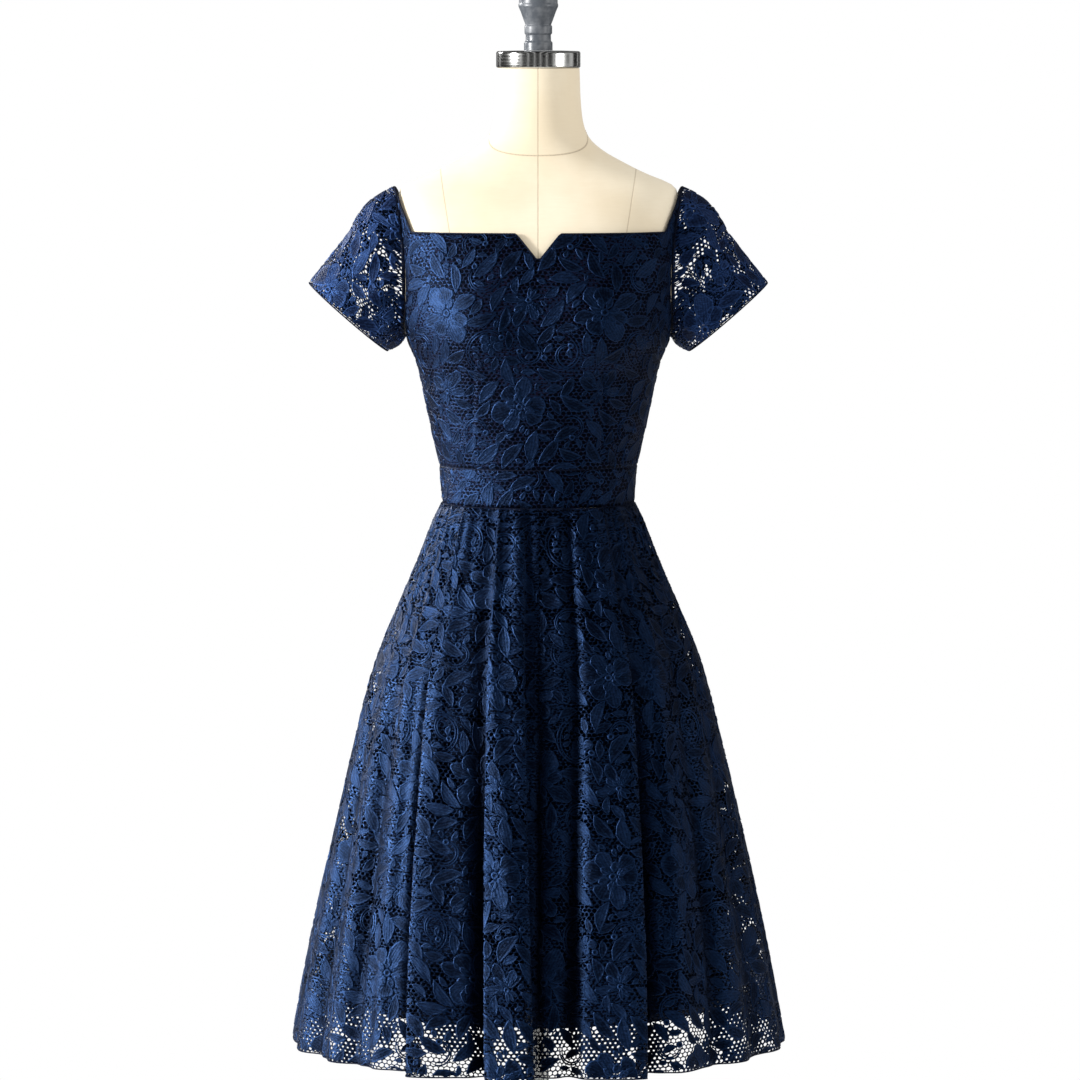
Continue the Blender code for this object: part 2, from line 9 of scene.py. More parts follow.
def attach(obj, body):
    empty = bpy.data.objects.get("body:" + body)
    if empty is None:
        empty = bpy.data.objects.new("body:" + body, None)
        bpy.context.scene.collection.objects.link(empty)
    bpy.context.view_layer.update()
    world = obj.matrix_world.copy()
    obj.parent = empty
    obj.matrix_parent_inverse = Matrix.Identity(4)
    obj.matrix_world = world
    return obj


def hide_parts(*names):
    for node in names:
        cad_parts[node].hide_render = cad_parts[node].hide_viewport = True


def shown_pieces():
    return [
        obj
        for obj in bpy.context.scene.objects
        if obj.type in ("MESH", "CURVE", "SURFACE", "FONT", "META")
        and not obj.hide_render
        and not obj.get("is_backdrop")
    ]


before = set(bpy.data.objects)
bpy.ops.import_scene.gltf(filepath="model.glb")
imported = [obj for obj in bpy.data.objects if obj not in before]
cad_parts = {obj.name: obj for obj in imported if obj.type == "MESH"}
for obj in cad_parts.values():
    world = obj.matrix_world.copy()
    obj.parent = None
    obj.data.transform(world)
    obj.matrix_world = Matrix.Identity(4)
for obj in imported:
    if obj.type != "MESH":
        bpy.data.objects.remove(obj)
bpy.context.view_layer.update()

dressBody = "dress"

sectionColumns = ("height", "side", "front", "back", "squareness")

# level sections of the bodice and waistband, outer face
bodiceSections = (
    (1.0100, 0.1135, 0.0895, 0.0845, 2.00),
    (1.0450, 0.1155, 0.0910, 0.0855, 2.02),
    (1.0700, 0.1182, 0.0940, 0.0870, 2.05),
    (1.1300, 0.1312, 0.1050, 0.0960, 2.15),
    (1.1900, 0.1446, 0.1160, 0.1060, 2.20),
    (1.2170, 0.1555, 0.1200, 0.1100, 2.30),
    (1.2400, 0.1605, 0.1210, 0.1120, 2.40),
    (1.2900, 0.1640, 0.1150, 0.1128, 2.50),
    (1.3440, 0.1665, 0.0990, 0.1080, 2.50),
    (1.3750, 0.1700, 0.0840, 0.0980, 2.50),
    (1.3900, 0.1700, 0.0740, 0.0880, 2.50),
)
formSections = (
    (0.7600, 0.1280, 0.0880, 0.0980, 2.00),
    (0.7750, 0.1430, 0.0990, 0.1100, 2.00),
    (0.8200, 0.1570, 0.1070, 0.1210, 2.00),
    (0.8600, 0.1600, 0.1090, 0.1230, 2.00),
    (0.9100, 0.1480, 0.1050, 0.1130, 2.00),
    (0.9650, 0.1240, 0.0950, 0.0930, 2.00),
    (1.0220, 0.1095, 0.0850, 0.0780, 2.00),
    (1.0700, 0.1135, 0.0890, 0.0815, 2.05),
    (1.1300, 0.1268, 0.1000, 0.0905, 2.15),
    (1.1900, 0.1395, 0.1110, 0.1000, 2.20),
    (1.2400, 0.1540, 0.1160, 0.1060, 2.40),
    (1.2900, 0.1590, 0.1095, 0.1068, 2.50),
    (1.3440, 0.1620, 0.0935, 0.1020, 2.50),
    (1.3750, 0.1645, 0.0780, 0.0910, 2.50),
    (1.3920, 0.1630, 0.0660, 0.0790, 2.40),
    (1.4000, 0.1540, 0.0590, 0.0720, 2.35),
    (1.4110, 0.1270, 0.0545, 0.0680, 2.30),
    (1.4250, 0.0990, 0.0520, 0.0650, 2.20),
    (1.4370, 0.0780, 0.0505, 0.0625, 2.10),
    (1.4500, 0.0625, 0.0490, 0.0590, 2.05),
    (1.4650, 0.0545, 0.0482, 0.0550, 2.00),
    (1.4900, 0.0505, 0.0478, 0.0510, 2.00),
    (1.5347, 0.0485, 0.0480, 0.0480, 2.00),
)
skirtSections = (
    (1.0217, 0.1145, 0.0900, 0.0850, 2.00),
    (1.0040, 0.1230, 0.0990, 0.0950, 2.00),
    (0.9750, 0.1344, 0.1110, 0.1080, 2.00),
    (0.9460, 0.1458, 0.1220, 0.1200, 2.00),
    (0.9030, 0.1644, 0.1390, 0.1380, 2.00),
    (0.8600, 0.1830, 0.1550, 0.1570, 2.00),
    (0.8170, 0.1980, 0.1680, 0.1720, 2.00),
    (0.7300, 0.2196, 0.1880, 0.1950, 2.00),
    (0.6150, 0.2466, 0.2110, 0.2205, 2.00),
    (0.5000, 0.2720, 0.2330, 0.2440, 2.00),
    (0.3850, 0.2940, 0.2520, 0.2641, 2.00),
)
liningSections = (
    (1.0205, 0.1125, 0.0875, 0.0815, 2.00),
    (0.9750, 0.1300, 0.1050, 0.1030, 2.00),
    (0.9030, 0.1570, 0.1260, 0.1290, 2.00),
    (0.8600, 0.1700, 0.1370, 0.1400, 2.00),
    (0.7830, 0.1900, 0.1540, 0.1570, 2.00),
    (0.6800, 0.2080, 0.1720, 0.1740, 2.00),
    (0.5900, 0.2190, 0.1840, 0.1850, 2.00),
    (0.5000, 0.2250, 0.1930, 0.1930, 2.00),
    (0.4350, 0.2270, 0.1980, 0.1970, 2.00),
)

# edge of the armhole, degrees from the middle front or back at each height
armholeEdge = (
    (1.217, 89.8, 89.8),
    (1.232, 79.5, 79.0),
    (1.262, 72.5, 72.0),
    (1.300, 70.0, 70.0),
    (1.344, 72.0, 71.5),
    (1.365, 73.5, 73.0),
    (1.385, 76.0, 75.5),
)
seamGap = 0.0003


# ---- numbers shared by every piece
def mix(first, last, share):
    return first + (last - first) * share


def smooth(value, low, high):
    share = np.clip((value - low) / (high - low), 0.0, 1.0)
    return share * share * (3.0 - 2.0 * share)


def rowAt(table, height):
    # every column at one height, by smooth cubic steps between rows
    rows = sorted(table)
    last = len(rows) - 1
    if height <= rows[0][0]:
        return rows[0]
    if height >= rows[last][0]:
        return rows[last]
    low = max(i for i in range(last) if rows[i][0] <= height)
    span = rows[low + 1][0] - rows[low][0]
    t = (height - rows[low][0]) / span
    found = []
    for k in range(len(rows[0])):
        slopes = []
        for i in (low, low + 1):
            before, after = rows[max(i - 1, 0)], rows[min(i + 1, last)]
            slopes.append((after[k] - before[k]) / (after[0] - before[0]) * span)
        found.append(
            rows[low][k] * (2 * t**3 - 3 * t**2 + 1) + slopes[0] * (t**3 - 2 * t**2 + t)
            + rows[low + 1][k] * (3 * t**2 - 2 * t**3) + slopes[1] * (t**3 - t**2)
        )
    return found


class SectionStack:
    # a table of level sections read at many heights at once
    def __init__(self, table):
        self.heights = np.linspace(min(table)[0], max(table)[0], 1200)
        self.values = np.array([rowAt(table, z) for z in self.heights])

    def column(self, name, height):
        return np.interp(height, self.heights, self.values[:, sectionColumns.index(name)])

    def points(self, height, degrees, lift=0.0):
        height, degrees = np.broadcast_arrays(height, degrees)
        across, along = np.sin(np.radians(degrees)), np.cos(np.radians(degrees))
        power = 2.0 / self.column("squareness", height)
        front, back = self.column("front", height), self.column("back", height)
        depth = np.where(along > 0, front, back) + lift
        side = self.column("side", height) + lift
        x = side * np.sign(across) * np.abs(across) ** power
        y = -depth * np.sign(along) * np.abs(along) ** power
        return np.stack((x, y, height), axis=-1)


bust = {"across": 0.077, "height": 1.232, "reachAcross": 0.042, "reachUp": 0.050, "lift": 0.013}


def addBust(points, degrees):
    across = (np.abs(points[..., 0]) - bust["across"]) / bust["reachAcross"]
    up = (points[..., 2] - bust["height"]) / bust["reachUp"]
    onFront = np.cos(np.radians(degrees)) > 0
    points[..., 1] -= np.where(onFront, bust["lift"] * np.exp(-across * across - up * up), 0.0)
    return points


bodiceStack, formStack = SectionStack(bodiceSections), SectionStack(formSections)
skirtStack, liningStack = SectionStack(skirtSections), SectionStack(liningSections)


def armholeDegrees(height, face):
    rows = np.linspace(armholeEdge[0][0], armholeEdge[-1][0], 240)
    column = 1 if face == "front" else 2
    values = np.array([rowAt(armholeEdge, z)[column] for z in rows])
    return np.interp(height, rows, values)


# ---- meshes
def gridNormals(points, closed=False):
    if closed:
        along = np.roll(points, -1, axis=1) - np.roll(points, 1, axis=1)
    else:
        along = np.gradient(points, axis=1)
    up = -np.gradient(points, axis=0)
    normal = np.cross(along, up)
    return normal / np.maximum(np.linalg.norm(normal, axis=-1, keepdims=True), 1e-12)


def placed(name, data):
    item = bpy.data.objects.new(name, data)
    bpy.context.scene.collection.objects.link(item)
    return item


def gridMesh(name, points, cloth, material, closed=False, hollow=None):
    # rows run downwards and columns towards +X seen from the front; cloth holds the
    # flat place of each corner, one more column than points when the grid is closed
    rows, columns = points.shape[:2]
    steps = columns if closed else columns - 1
    upper, j = np.meshgrid(np.arange(rows - 1) * columns, np.arange(steps), indexing="ij")
    lower, k = upper + columns, (j + 1) % columns
    faces = np.stack((upper + j, lower + j, lower + k, upper + k), axis=-1)
    mesh = bpy.data.meshes.new(name)
    mesh.from_pydata(points.reshape(-1, 3).tolist(), [], faces.reshape(-1, 4).tolist())
    if isinstance(cloth, tuple):
        left, right = cloth
    else:
        left, right = cloth[:, :-1], cloth[:, 1:]
    corners = np.stack((left[:-1], left[1:], right[1:], right[:-1]), axis=2)
    layer = mesh.uv_layers.new(name="cloth")
    layer.data.foreach_set("uv", corners.reshape(-1).astype(np.float32))
    outward = mesh.attributes.new("outward", "FLOAT_VECTOR", "POINT")
    outward.data.foreach_set("vector", gridNormals(points, closed).reshape(-1).astype(np.float32))
    if hollow is not None:
        depth = mesh.attributes.new("hollow", "FLOAT", "POINT")
        depth.data.foreach_set("value", hollow.reshape(-1).astype(np.float32))
    mesh.materials.append(material)
    mesh.shade_smooth()
    return placed(name, mesh)


def arcLengths(points, axis):
    steps = np.linalg.norm(np.diff(points, axis=axis), axis=-1)
    start = np.zeros_like(np.take(steps, [0], axis=axis))
    return np.concatenate((start, np.cumsum(steps, axis=axis)), axis=axis)


def thicken(item, thickness):
    solid = item.modifiers.new("thickness", "SOLIDIFY")
    solid.thickness = thickness
    solid.offset = -1.0
    solid.use_even_offset = False
    solid.use_quality_normals = True
    return item


def ringSolid(name, rings, material, sharp):
    # closed solid through level rings, each end closed to its own middle
    shape = bmesh.new()
    loops = [[shape.verts.new(point) for point in ring] for ring in rings]
    count = len(loops[0])
    for first, second in zip(loops, loops[1:]):
        for j in range(count):
            k = (j + 1) % count
            shape.faces.new((first[j], first[k], second[k], second[j]))
    for loop in (loops[0], loops[-1]):
        middle = shape.verts.new((0.0, 0.0, loop[0].co.z))
        for j in range(count):
            shape.faces.new((middle, loop[j], loop[(j + 1) % count]))
    bmesh.ops.recalc_face_normals(shape, faces=shape.faces[:])
    mesh = bpy.data.meshes.new(name)
    shape.to_mesh(mesh)
    shape.free()
    mesh.materials.append(material)
    mesh.shade_smooth()
    mesh.set_sharp_from_angle(angle=math.radians(sharp))
    return placed(name, mesh)


def turnedPiece(name, profile, material, sides=96):
    # turned solid from (radius, height) edges, foot first
    turns = [2 * math.pi * j / sides for j in range(sides)]
    rings = []
    for radius, height in profile:
        rings.append([(radius * math.cos(a), radius * math.sin(a), height) for a in turns])
    return ringSolid(name, rings, material, 30.0)


def roundedProfile(points, radius, steps=4):
    # replaces each inner corner of an open profile with a short arc
    rounded = [points[0]]
    for before, corner, after in zip(points, points[1:], points[2:]):
        here = Vector((*corner, 0.0))
        arms = [Vector((*p, 0.0)) - here for p in (before, after)]
        reach = min([radius] + [arm.length * 0.45 for arm in arms])
        ends = [here + arm.normalized() * reach for arm in arms]
        for n in range(steps + 1):
            t = n / steps
            p = ends[0] * (1 - t) ** 2 + here * 2 * t * (1 - t) + ends[1] * t * t
            rounded.append((p.x, p.y))
    return rounded + [points[-1]]


# ---- node helpers
finishInputs = {
    "colour": "Base Color", "roughness": "Roughness", "normal": "Normal", "alpha": "Alpha",
    "metal": "Metallic", "shine": "Specular IOR Level", "shineTint": "Specular Tint",
    "sheen": "Sheen Weight", "sheenRoughness": "Sheen Roughness", "sheenTint": "Sheen Tint",
    "coat": "Coat Weight", "coatRoughness": "Coat Roughness",
}


class Nodes:
    # adds nodes to a tree with short calls; a link or a value goes to each named input
    def __init__(self, tree):
        self.tree = tree

    def add(self, kind, inputs=None, **settings):
        node = self.tree.nodes.new(kind)
        for key, value in settings.items():
            setattr(node, key, value)
        for key, value in (inputs or {}).items():
            self.feed(node.inputs[key], value)
        return node

    def feed(self, socket, value):
        if isinstance(value, bpy.types.NodeSocket):
            self.tree.links.new(value, socket)
        else:
            socket.default_value = value

    def math(self, operation, first, second=0.0, third=0.0):
        node = self.add("ShaderNodeMath", {0: first, 1: second, 2: third}, operation=operation)
        return node.outputs[0]

    def vector(self, operation, first, second=(0, 0, 0)):
        node = self.add("ShaderNodeVectorMath", {0: first, 1: second}, operation=operation)
        return node.outputs["Value" if operation in ("LENGTH", "DISTANCE") else "Vector"]

    def scaled(self, vector, share):
        return self.add("ShaderNodeVectorMath", {0: vector, "Scale": share}, operation="SCALE").outputs[0]

    def range(self, value, low, high, start=0.0, end=1.0, kind="SMOOTHSTEP"):
        sockets = {"Value": value, "From Min": low, "From Max": high, "To Min": start, "To Max": end}
        return self.add("ShaderNodeMapRange", sockets, interpolation_type=kind).outputs["Result"]

    def blend(self, share, first, second):
        node = self.add("ShaderNodeMix", data_type="RGBA")
        for index, value in ((0, share), (6, first), (7, second)):
            self.feed(node.inputs[index], value)
        return node.outputs[2]

    def noise(self, place, scale, detail=3.0, roughness=0.55):
        sockets = {"Vector": place, "Scale": scale, "Detail": detail, "Roughness": roughness}
        return self.add("ShaderNodeTexNoise", sockets).outputs["Fac"]

    def bump(self, height, strength, distance):
        sockets = {"Height": height, "Strength": strength, "Distance": distance}
        return self.add("ShaderNodeBump", sockets).outputs["Normal"]

    def wave(self, place, scale, distortion, direction="DIAGONAL"):
        sockets = {"Vector": place, "Scale": scale, "Distortion": distortion}
        return self.add("ShaderNodeTexWave", sockets, bands_direction=direction).outputs["Fac"]

    def split(self, vector):
        return self.add("ShaderNodeSeparateXYZ", {"Vector": vector}).outputs

    def solidPlace(self):
        return self.add("ShaderNodeTexCoord").outputs["Object"]

    def clothPlace(self):
        return self.add("ShaderNodeUVMap", uv_map="cloth").outputs["UV"]

    def finish(self, **looks):
        # sets or links the shader's inputs by their short names
        shader = self.tree.nodes["Principled BSDF"]
        for key, value in looks.items():
            self.feed(shader.inputs[finishInputs[key]], value)


def newMaterial(name, **looks):
    material = bpy.data.materials.new(name)
    material.use_nodes = True
    nodes = Nodes(material.node_tree)
    nodes.finish(**looks)
    return material, nodes


def rgb(red, green, blue):
    return (red, green, blue, 1.0)


# ---- materials
laceLook = {
    "thread": rgb(0.0024, 0.0050, 0.0160),
    "threadDark": rgb(0.0009, 0.0017, 0.0056),
    "gap": rgb(0.0005, 0.0004, 0.0010),
    "underLace": rgb(0.0024, 0.0014, 0.0036),
    "underTwill": rgb(0.0062, 0.0044, 0.0118),
    "deep": rgb(0.0005, 0.0008, 0.0026),
    "middle": rgb(0.0012, 0.0023, 0.0074),
    "raised": rgb(0.0028, 0.0062, 0.0195),
    "sheenTint": rgb(0.10, 0.30, 0.88),
    "shineTint": rgb(0.09, 0.33, 1.00),
    "cellAcross": 0.0062,
    "cellAlong": 0.0045,
    "holeSmall": 0.20, "holeLarge": 0.42, "denseScale": 13.0, "hollowShade": 0.85,
    "closedSides": (0.150, 0.215), "closedHeights": (0.445, 0.425), "closing": 0.14,
    "looseScale": 70.0, "loose": 0.0040, "cellSquash": 0.92, "threadEdge": (-0.03, 0.05), "holeEase": 0.06,
    "hairStretch": (1.0, 2.2, 2.2), "hairScale": 235.0, "netShine": (0.06, 0.70), "motifShine": (0.16, 0.80),
    "dullness": (0.40, 0.52),
}


def netMask(nodes, cloth, open):
    # 1 on the net's threads, 0 in its holes: rounded cells set in half-drop rows
    wobble = nodes.noise(cloth, laceLook["looseScale"], 2.0)
    loose = nodes.math("MULTIPLY_ADD", wobble, laceLook["loose"], -laceLook["loose"] / 2)
    axes = nodes.split(cloth)
    across = nodes.math("DIVIDE", nodes.math("ADD", axes["X"], loose), laceLook["cellAcross"])
    along = nodes.math("DIVIDE", nodes.math("ADD", axes["Y"], loose), laceLook["cellAlong"])
    row = nodes.math("FLOOR", along)
    half = nodes.math("MULTIPLY", nodes.math("MODULO", nodes.math("ABSOLUTE", row), 2.0), 0.5)
    placeAcross = nodes.math("SUBTRACT", nodes.math("FRACT", nodes.math("ADD", across, half)), 0.5)
    placeAlong = nodes.math("SUBTRACT", nodes.math("FRACT", along), 0.5)
    placeAlong = nodes.math("MULTIPLY", placeAlong, laceLook["cellSquash"])
    flat = nodes.add("ShaderNodeCombineXYZ", {"X": placeAcross, "Y": placeAlong})
    reach = nodes.vector("LENGTH", flat.outputs[0])
    dense = nodes.noise(cloth, laceLook["denseScale"], 2.0)
    spot = nodes.split(nodes.solidPlace())
    side = nodes.range(nodes.math("ABSOLUTE", spot["X"]), *laceLook["closedSides"])
    low = nodes.range(spot["Z"], *laceLook["closedHeights"])
    closed = nodes.math("MULTIPLY", nodes.math("MULTIPLY", side, low), laceLook["closing"])
    ease = laceLook["holeEase"]
    hole = nodes.range(nodes.math("SUBTRACT", dense, closed), open - ease, open + ease,
                       laceLook["holeSmall"], laceLook["holeLarge"])
    return nodes.range(nodes.math("SUBTRACT", reach, hole), *laceLook["threadEdge"])


def lighter(colour, share):
    return rgb(*(channel * share for channel in colour[:3]))


def paintedFoldShade(nodes, colour, shine):
    # painted shade: the bottoms of the folds are darkened in colour and shine by their hollow depth
    hollow = nodes.add("ShaderNodeAttribute", attribute_name="hollow").outputs["Fac"]
    dim = nodes.math("MULTIPLY", hollow, laceLook["hollowShade"])
    shade = nodes.blend(dim, colour, laceLook["gap"])
    return shade, nodes.math("MULTIPLY", shine, nodes.math("SUBTRACT", 1.0, dim))


def hairlines(nodes, place):
    # short wavy threads lying mostly across the cloth
    bent = nodes.vector("MULTIPLY", place, laceLook["hairStretch"])
    return nodes.noise(bent, laceLook["hairScale"], 2.0, 0.6)


def laceMaterial(name, shine):
    return newMaterial(name, sheen=0.03, sheenRoughness=0.35, shine=shine,
                       sheenTint=laceLook["sheenTint"], shineTint=laceLook["shineTint"])


# share scales the lace's colours; above 1 it gives a lighter copy, the painted light of the sleeves
def laceNetMaterial(name, seeThrough, open, share=1.0):
    material, nodes = laceMaterial(name, 0.9)
    cloth = nodes.clothPlace()
    threads = netMask(nodes, cloth, open)
    patches = nodes.noise(cloth, 26.0, 3.0)
    thread = nodes.blend(nodes.range(patches, 0.35, 0.65), lighter(laceLook["threadDark"], share),
                         lighter(laceLook["thread"], share))
    fine = hairlines(nodes, cloth)
    strands = nodes.range(fine, 0.42, 0.56)
    if seeThrough:
        colour = nodes.blend(strands, laceLook["gap"], thread)
        nodes.finish(alpha=nodes.range(threads, 0.35, 0.55, kind="LINEAR"))
        shine = strands
    else:
        twill = nodes.wave(cloth, 420.0, 1.0, "X")
        ground = nodes.blend(twill, laceLook["underLace"], laceLook["underTwill"])
        colour = nodes.blend(threads, laceLook["gap"], nodes.blend(strands, ground, thread))
        shine = nodes.math("MULTIPLY", threads, strands)
    colour, shine = paintedFoldShade(nodes, colour, nodes.range(shine, 0.0, 1.0, *laceLook["netShine"], "LINEAR"))
    nodes.finish(colour=colour, shine=shine, roughness=nodes.range(fine, 0.2, 0.8, *laceLook["dullness"]),
                 normal=nodes.bump(nodes.math("ADD", threads, strands), 0.45, 0.0005))
    return material


# share above 1 gives a lighter copy of the motif, the painted light of the sleeves
def laceMotifMaterial(name, share=1.0):
    # tone runs from gauzy middles and the painted shadow line at each edge (0) to raised cords (1); grain is
    # the place on one petal
    material, nodes = laceMaterial(name, 1.0)
    tone = nodes.add("ShaderNodeAttribute", attribute_name="tone").outputs["Fac"]
    grain = nodes.add("ShaderNodeAttribute", attribute_name="grain").outputs["Vector"]
    hatch = nodes.add("ShaderNodeTexWave", {"Vector": grain, "Scale": 95.0, "Distortion": 2.0, "Detail": 1.0,
                                            "Detail Scale": 2.0}, bands_direction="Y").outputs["Fac"]
    place = nodes.solidPlace()
    patches = nodes.noise(place, 34.0, 3.0)
    fine = hairlines(nodes, place)
    level = tone
    for mark, strength in ((hatch, 0.24), (patches, 0.5), (fine, 1.5)):
        level = nodes.math("ADD", level, nodes.math("MULTIPLY_ADD", mark, strength, -strength / 2))
    ramp = nodes.add("ShaderNodeValToRGB", {"Fac": level})
    tones = ramp.color_ramp.elements
    tones[0].color = lighter(laceLook["deep"], share)
    tones[1].color = lighter(laceLook["raised"], share)
    tones.new(0.5).color = lighter(laceLook["middle"], share)
    shine = nodes.range(level, 0.0, 0.9, *laceLook["motifShine"], "LINEAR")
    colour, shine = paintedFoldShade(nodes, ramp.outputs["Color"], shine)
    height = nodes.math("ADD", hatch, nodes.math("MULTIPLY", fine, 1.2))
    nodes.finish(colour=colour, shine=shine, roughness=nodes.range(fine, 0.2, 0.8, *laceLook["dullness"]),
                 normal=nodes.bump(height, 0.4, 0.0004))
    return material


def liningMaterial():
    material, nodes = newMaterial("navySatinLining", shine=0.10, shineTint=laceLook["shineTint"])
    cloth = nodes.clothPlace()
    twill = nodes.wave(cloth, 260.0, 0.6)
    slow = nodes.noise(cloth, 14.0, 3.0)
    colour = nodes.blend(slow, rgb(0.0007, 0.0008, 0.0022), rgb(0.0012, 0.0014, 0.0042))
    nodes.finish(colour=nodes.blend(twill, colour, rgb(0.0010, 0.0013, 0.0040)),
                 roughness=nodes.range(slow, 0.3, 0.7, 0.38, 0.52), normal=nodes.bump(twill, 0.25, 0.0003))
    return material


def threadMaterial(name, dark, light):
    # twisted sewing thread or narrow bound edge
    material, nodes = newMaterial(name, shine=0.12)
    place = nodes.solidPlace()
    twist = nodes.wave(place, 300.0, 3.0)
    fine = nodes.noise(place, 700.0, 2.0)
    nodes.finish(colour=nodes.blend(twist, dark, light), roughness=nodes.range(fine, 0.2, 0.8, 0.5, 0.75),
                 normal=nodes.bump(twist, 0.5, 0.0003))
    return material


seamLook = {"half": 0.0006, "sideSlope": 0.165, "sideHeight": 1.353, "sideX": 0.1045, "neck": 1.4602,
            "neckSlope": 0.53}


def formSeams(nodes, place):
    # 1 on the canvas seams: middle front and back, the two side-front lines and the neck's foot
    axes = nodes.split(place)
    reach = nodes.math("ABSOLUTE", axes["X"])
    rise = nodes.math("SUBTRACT", axes["Z"], seamLook["sideHeight"])
    sideLine = nodes.math("MULTIPLY_ADD", rise, seamLook["sideSlope"], seamLook["sideX"])
    neckLine = nodes.math("MULTIPLY_ADD", axes["Y"], seamLook["neckSlope"], seamLook["neck"])
    gaps = (reach, nodes.math("ABSOLUTE", nodes.math("SUBTRACT", reach, sideLine)),
            nodes.math("ABSOLUTE", nodes.math("SUBTRACT", axes["Z"], neckLine)))
    below = nodes.math("LESS_THAN", axes["Z"], neckLine)
    marks = []
    for gap in gaps:
        marks.append(nodes.range(gap, 0.4 * seamLook["half"], 1.6 * seamLook["half"], 1.0, 0.0))
    sides = nodes.math("MULTIPLY", marks[1], below)
    return nodes.math("MAXIMUM", nodes.math("MAXIMUM", marks[0], sides), marks[2])


def canvasMaterial():
    material, nodes = newMaterial("creamCanvas", sheen=0.12, shine=0.2)
    place = nodes.solidPlace()
    weave = nodes.math("ADD", nodes.wave(place, 330.0, 0.8, "Z"), nodes.wave(place, 330.0, 0.8, "X"))
    weave = nodes.math("MULTIPLY", weave, 0.5)
    slubs = nodes.noise(nodes.vector("MULTIPLY", place, (1.0, 1.0, 9.0)), 60.0, 4.0)
    stain = nodes.noise(place, 9.0, 4.0)
    cream = nodes.blend(nodes.range(stain, 0.3, 0.7), rgb(0.78, 0.67, 0.49), rgb(0.86, 0.77, 0.60))
    seams = formSeams(nodes, place)
    for mark, strength, tint in ((slubs, 0.25, rgb(0.66, 0.54, 0.37)), (weave, 0.10, rgb(0.62, 0.52, 0.38)),
                                 (seams, 0.55, rgb(0.40, 0.32, 0.22))):
        cream = nodes.blend(nodes.math("MULTIPLY", mark, strength), cream, tint)
    height = nodes.math("SUBTRACT", nodes.math("MULTIPLY", weave, 0.3), nodes.math("MULTIPLY", seams, 2.0))
    nodes.finish(colour=cream, roughness=nodes.range(slubs, 0.3, 0.7, 0.78, 0.92),
                 normal=nodes.bump(height, 0.4, 0.0004))
    return material


def metalMaterial(name, dark, light, low, high, turned=True):
    material, nodes = newMaterial(name, metal=1.0)
    place = nodes.solidPlace()
    grain = (3.0, 3.0, 900.0) if turned else (60.0, 60.0, 60.0)
    lines = nodes.noise(nodes.vector("MULTIPLY", place, grain), 1.0, 3.0)
    marks = nodes.noise(place, 45.0, 4.0)
    nodes.finish(colour=nodes.blend(marks, dark, light), roughness=nodes.range(lines, 0.3, 0.7, low, high),
                 normal=nodes.bump(lines, 0.06, 0.0002))
    return material


def greyPaintMaterial(name):
    material, nodes = newMaterial(name, coat=0.25, coatRoughness=0.3)
    place = nodes.solidPlace()
    turning = nodes.noise(nodes.vector("MULTIPLY", place, (8.0, 8.0, 420.0)), 1.0, 3.0)
    worn = nodes.noise(place, 70.0, 4.0)
    paint = nodes.blend(nodes.range(worn, 0.42, 0.62), rgb(0.085, 0.095, 0.110), rgb(0.150, 0.160, 0.175))
    nodes.finish(colour=nodes.blend(nodes.range(turning, 0.62, 0.72), paint, rgb(0.24, 0.25, 0.26)),
                 roughness=nodes.range(worn, 0.3, 0.7, 0.32, 0.48), normal=nodes.bump(turning, 0.15, 0.0003))
    return material


def tapeMaterial():
    material, nodes = newMaterial("navyZipTape", sheen=0.2)
    cloth = nodes.clothPlace()
    weave = nodes.add("ShaderNodeTexBrick", {"Vector": cloth, "Scale": 500.0, "Mortar Size": 0.03,
                                             "Color1": rgb(0.012, 0.022, 0.062),
                                             "Color2": rgb(0.018, 0.032, 0.085),
                                             "Mortar": rgb(0.005, 0.008, 0.022)}).outputs
    fuzz = nodes.noise(cloth, 300.0)
    nodes.finish(colour=weave["Color"], roughness=nodes.range(fuzz, 0.3, 0.7, 0.65, 0.85),
                 normal=nodes.bump(weave["Fac"], 0.4, 0.0002))
    return material


materials = {
    "net": laceNetMaterial("navyLaceNet", True, 0.49),
    # the sleeves' net and motif are the same lace painted 5.5 times lighter: painted light on the sleeves
    "sleeveNetPaintedLight": laceNetMaterial("navySleeveNetPaintedLight", True, 0.43, 5.5),
    "mounted": laceNetMaterial("navyMountedLace", False, 0.45),
    "motif": laceMotifMaterial("navyLaceMotif"),
    "sleeveMotifPaintedLight": laceMotifMaterial("navySleeveMotifPaintedLight", 5.5),
    "lining": liningMaterial(),
    "binding": threadMaterial("navyBoundEdge", rgb(0.0016, 0.0034, 0.0110), rgb(0.0034, 0.0076, 0.0250)),
    "stitch": threadMaterial("navySewingThread", rgb(0.0050, 0.0110, 0.0320), rgb(0.0120, 0.0280, 0.080)),
    "canvas": canvasMaterial(),
    "creamThread": threadMaterial("creamSewingThread", rgb(0.40, 0.33, 0.24), rgb(0.62, 0.53, 0.40)),
    "steel": metalMaterial("polishedSteel", rgb(0.50, 0.50, 0.49), rgb(0.72, 0.72, 0.70), 0.10, 0.24),
    "grey": greyPaintMaterial("turnedGreyPaint"),
    "zipMetal": metalMaterial("navyZipEnamel", rgb(0.03, 0.05, 0.12), rgb(0.06, 0.09, 0.18), 0.25, 0.40,
                              turned=False),
    "tape": tapeMaterial(),
    "basePaint": greyPaintMaterial("basePaint"),
}
print("materials made")


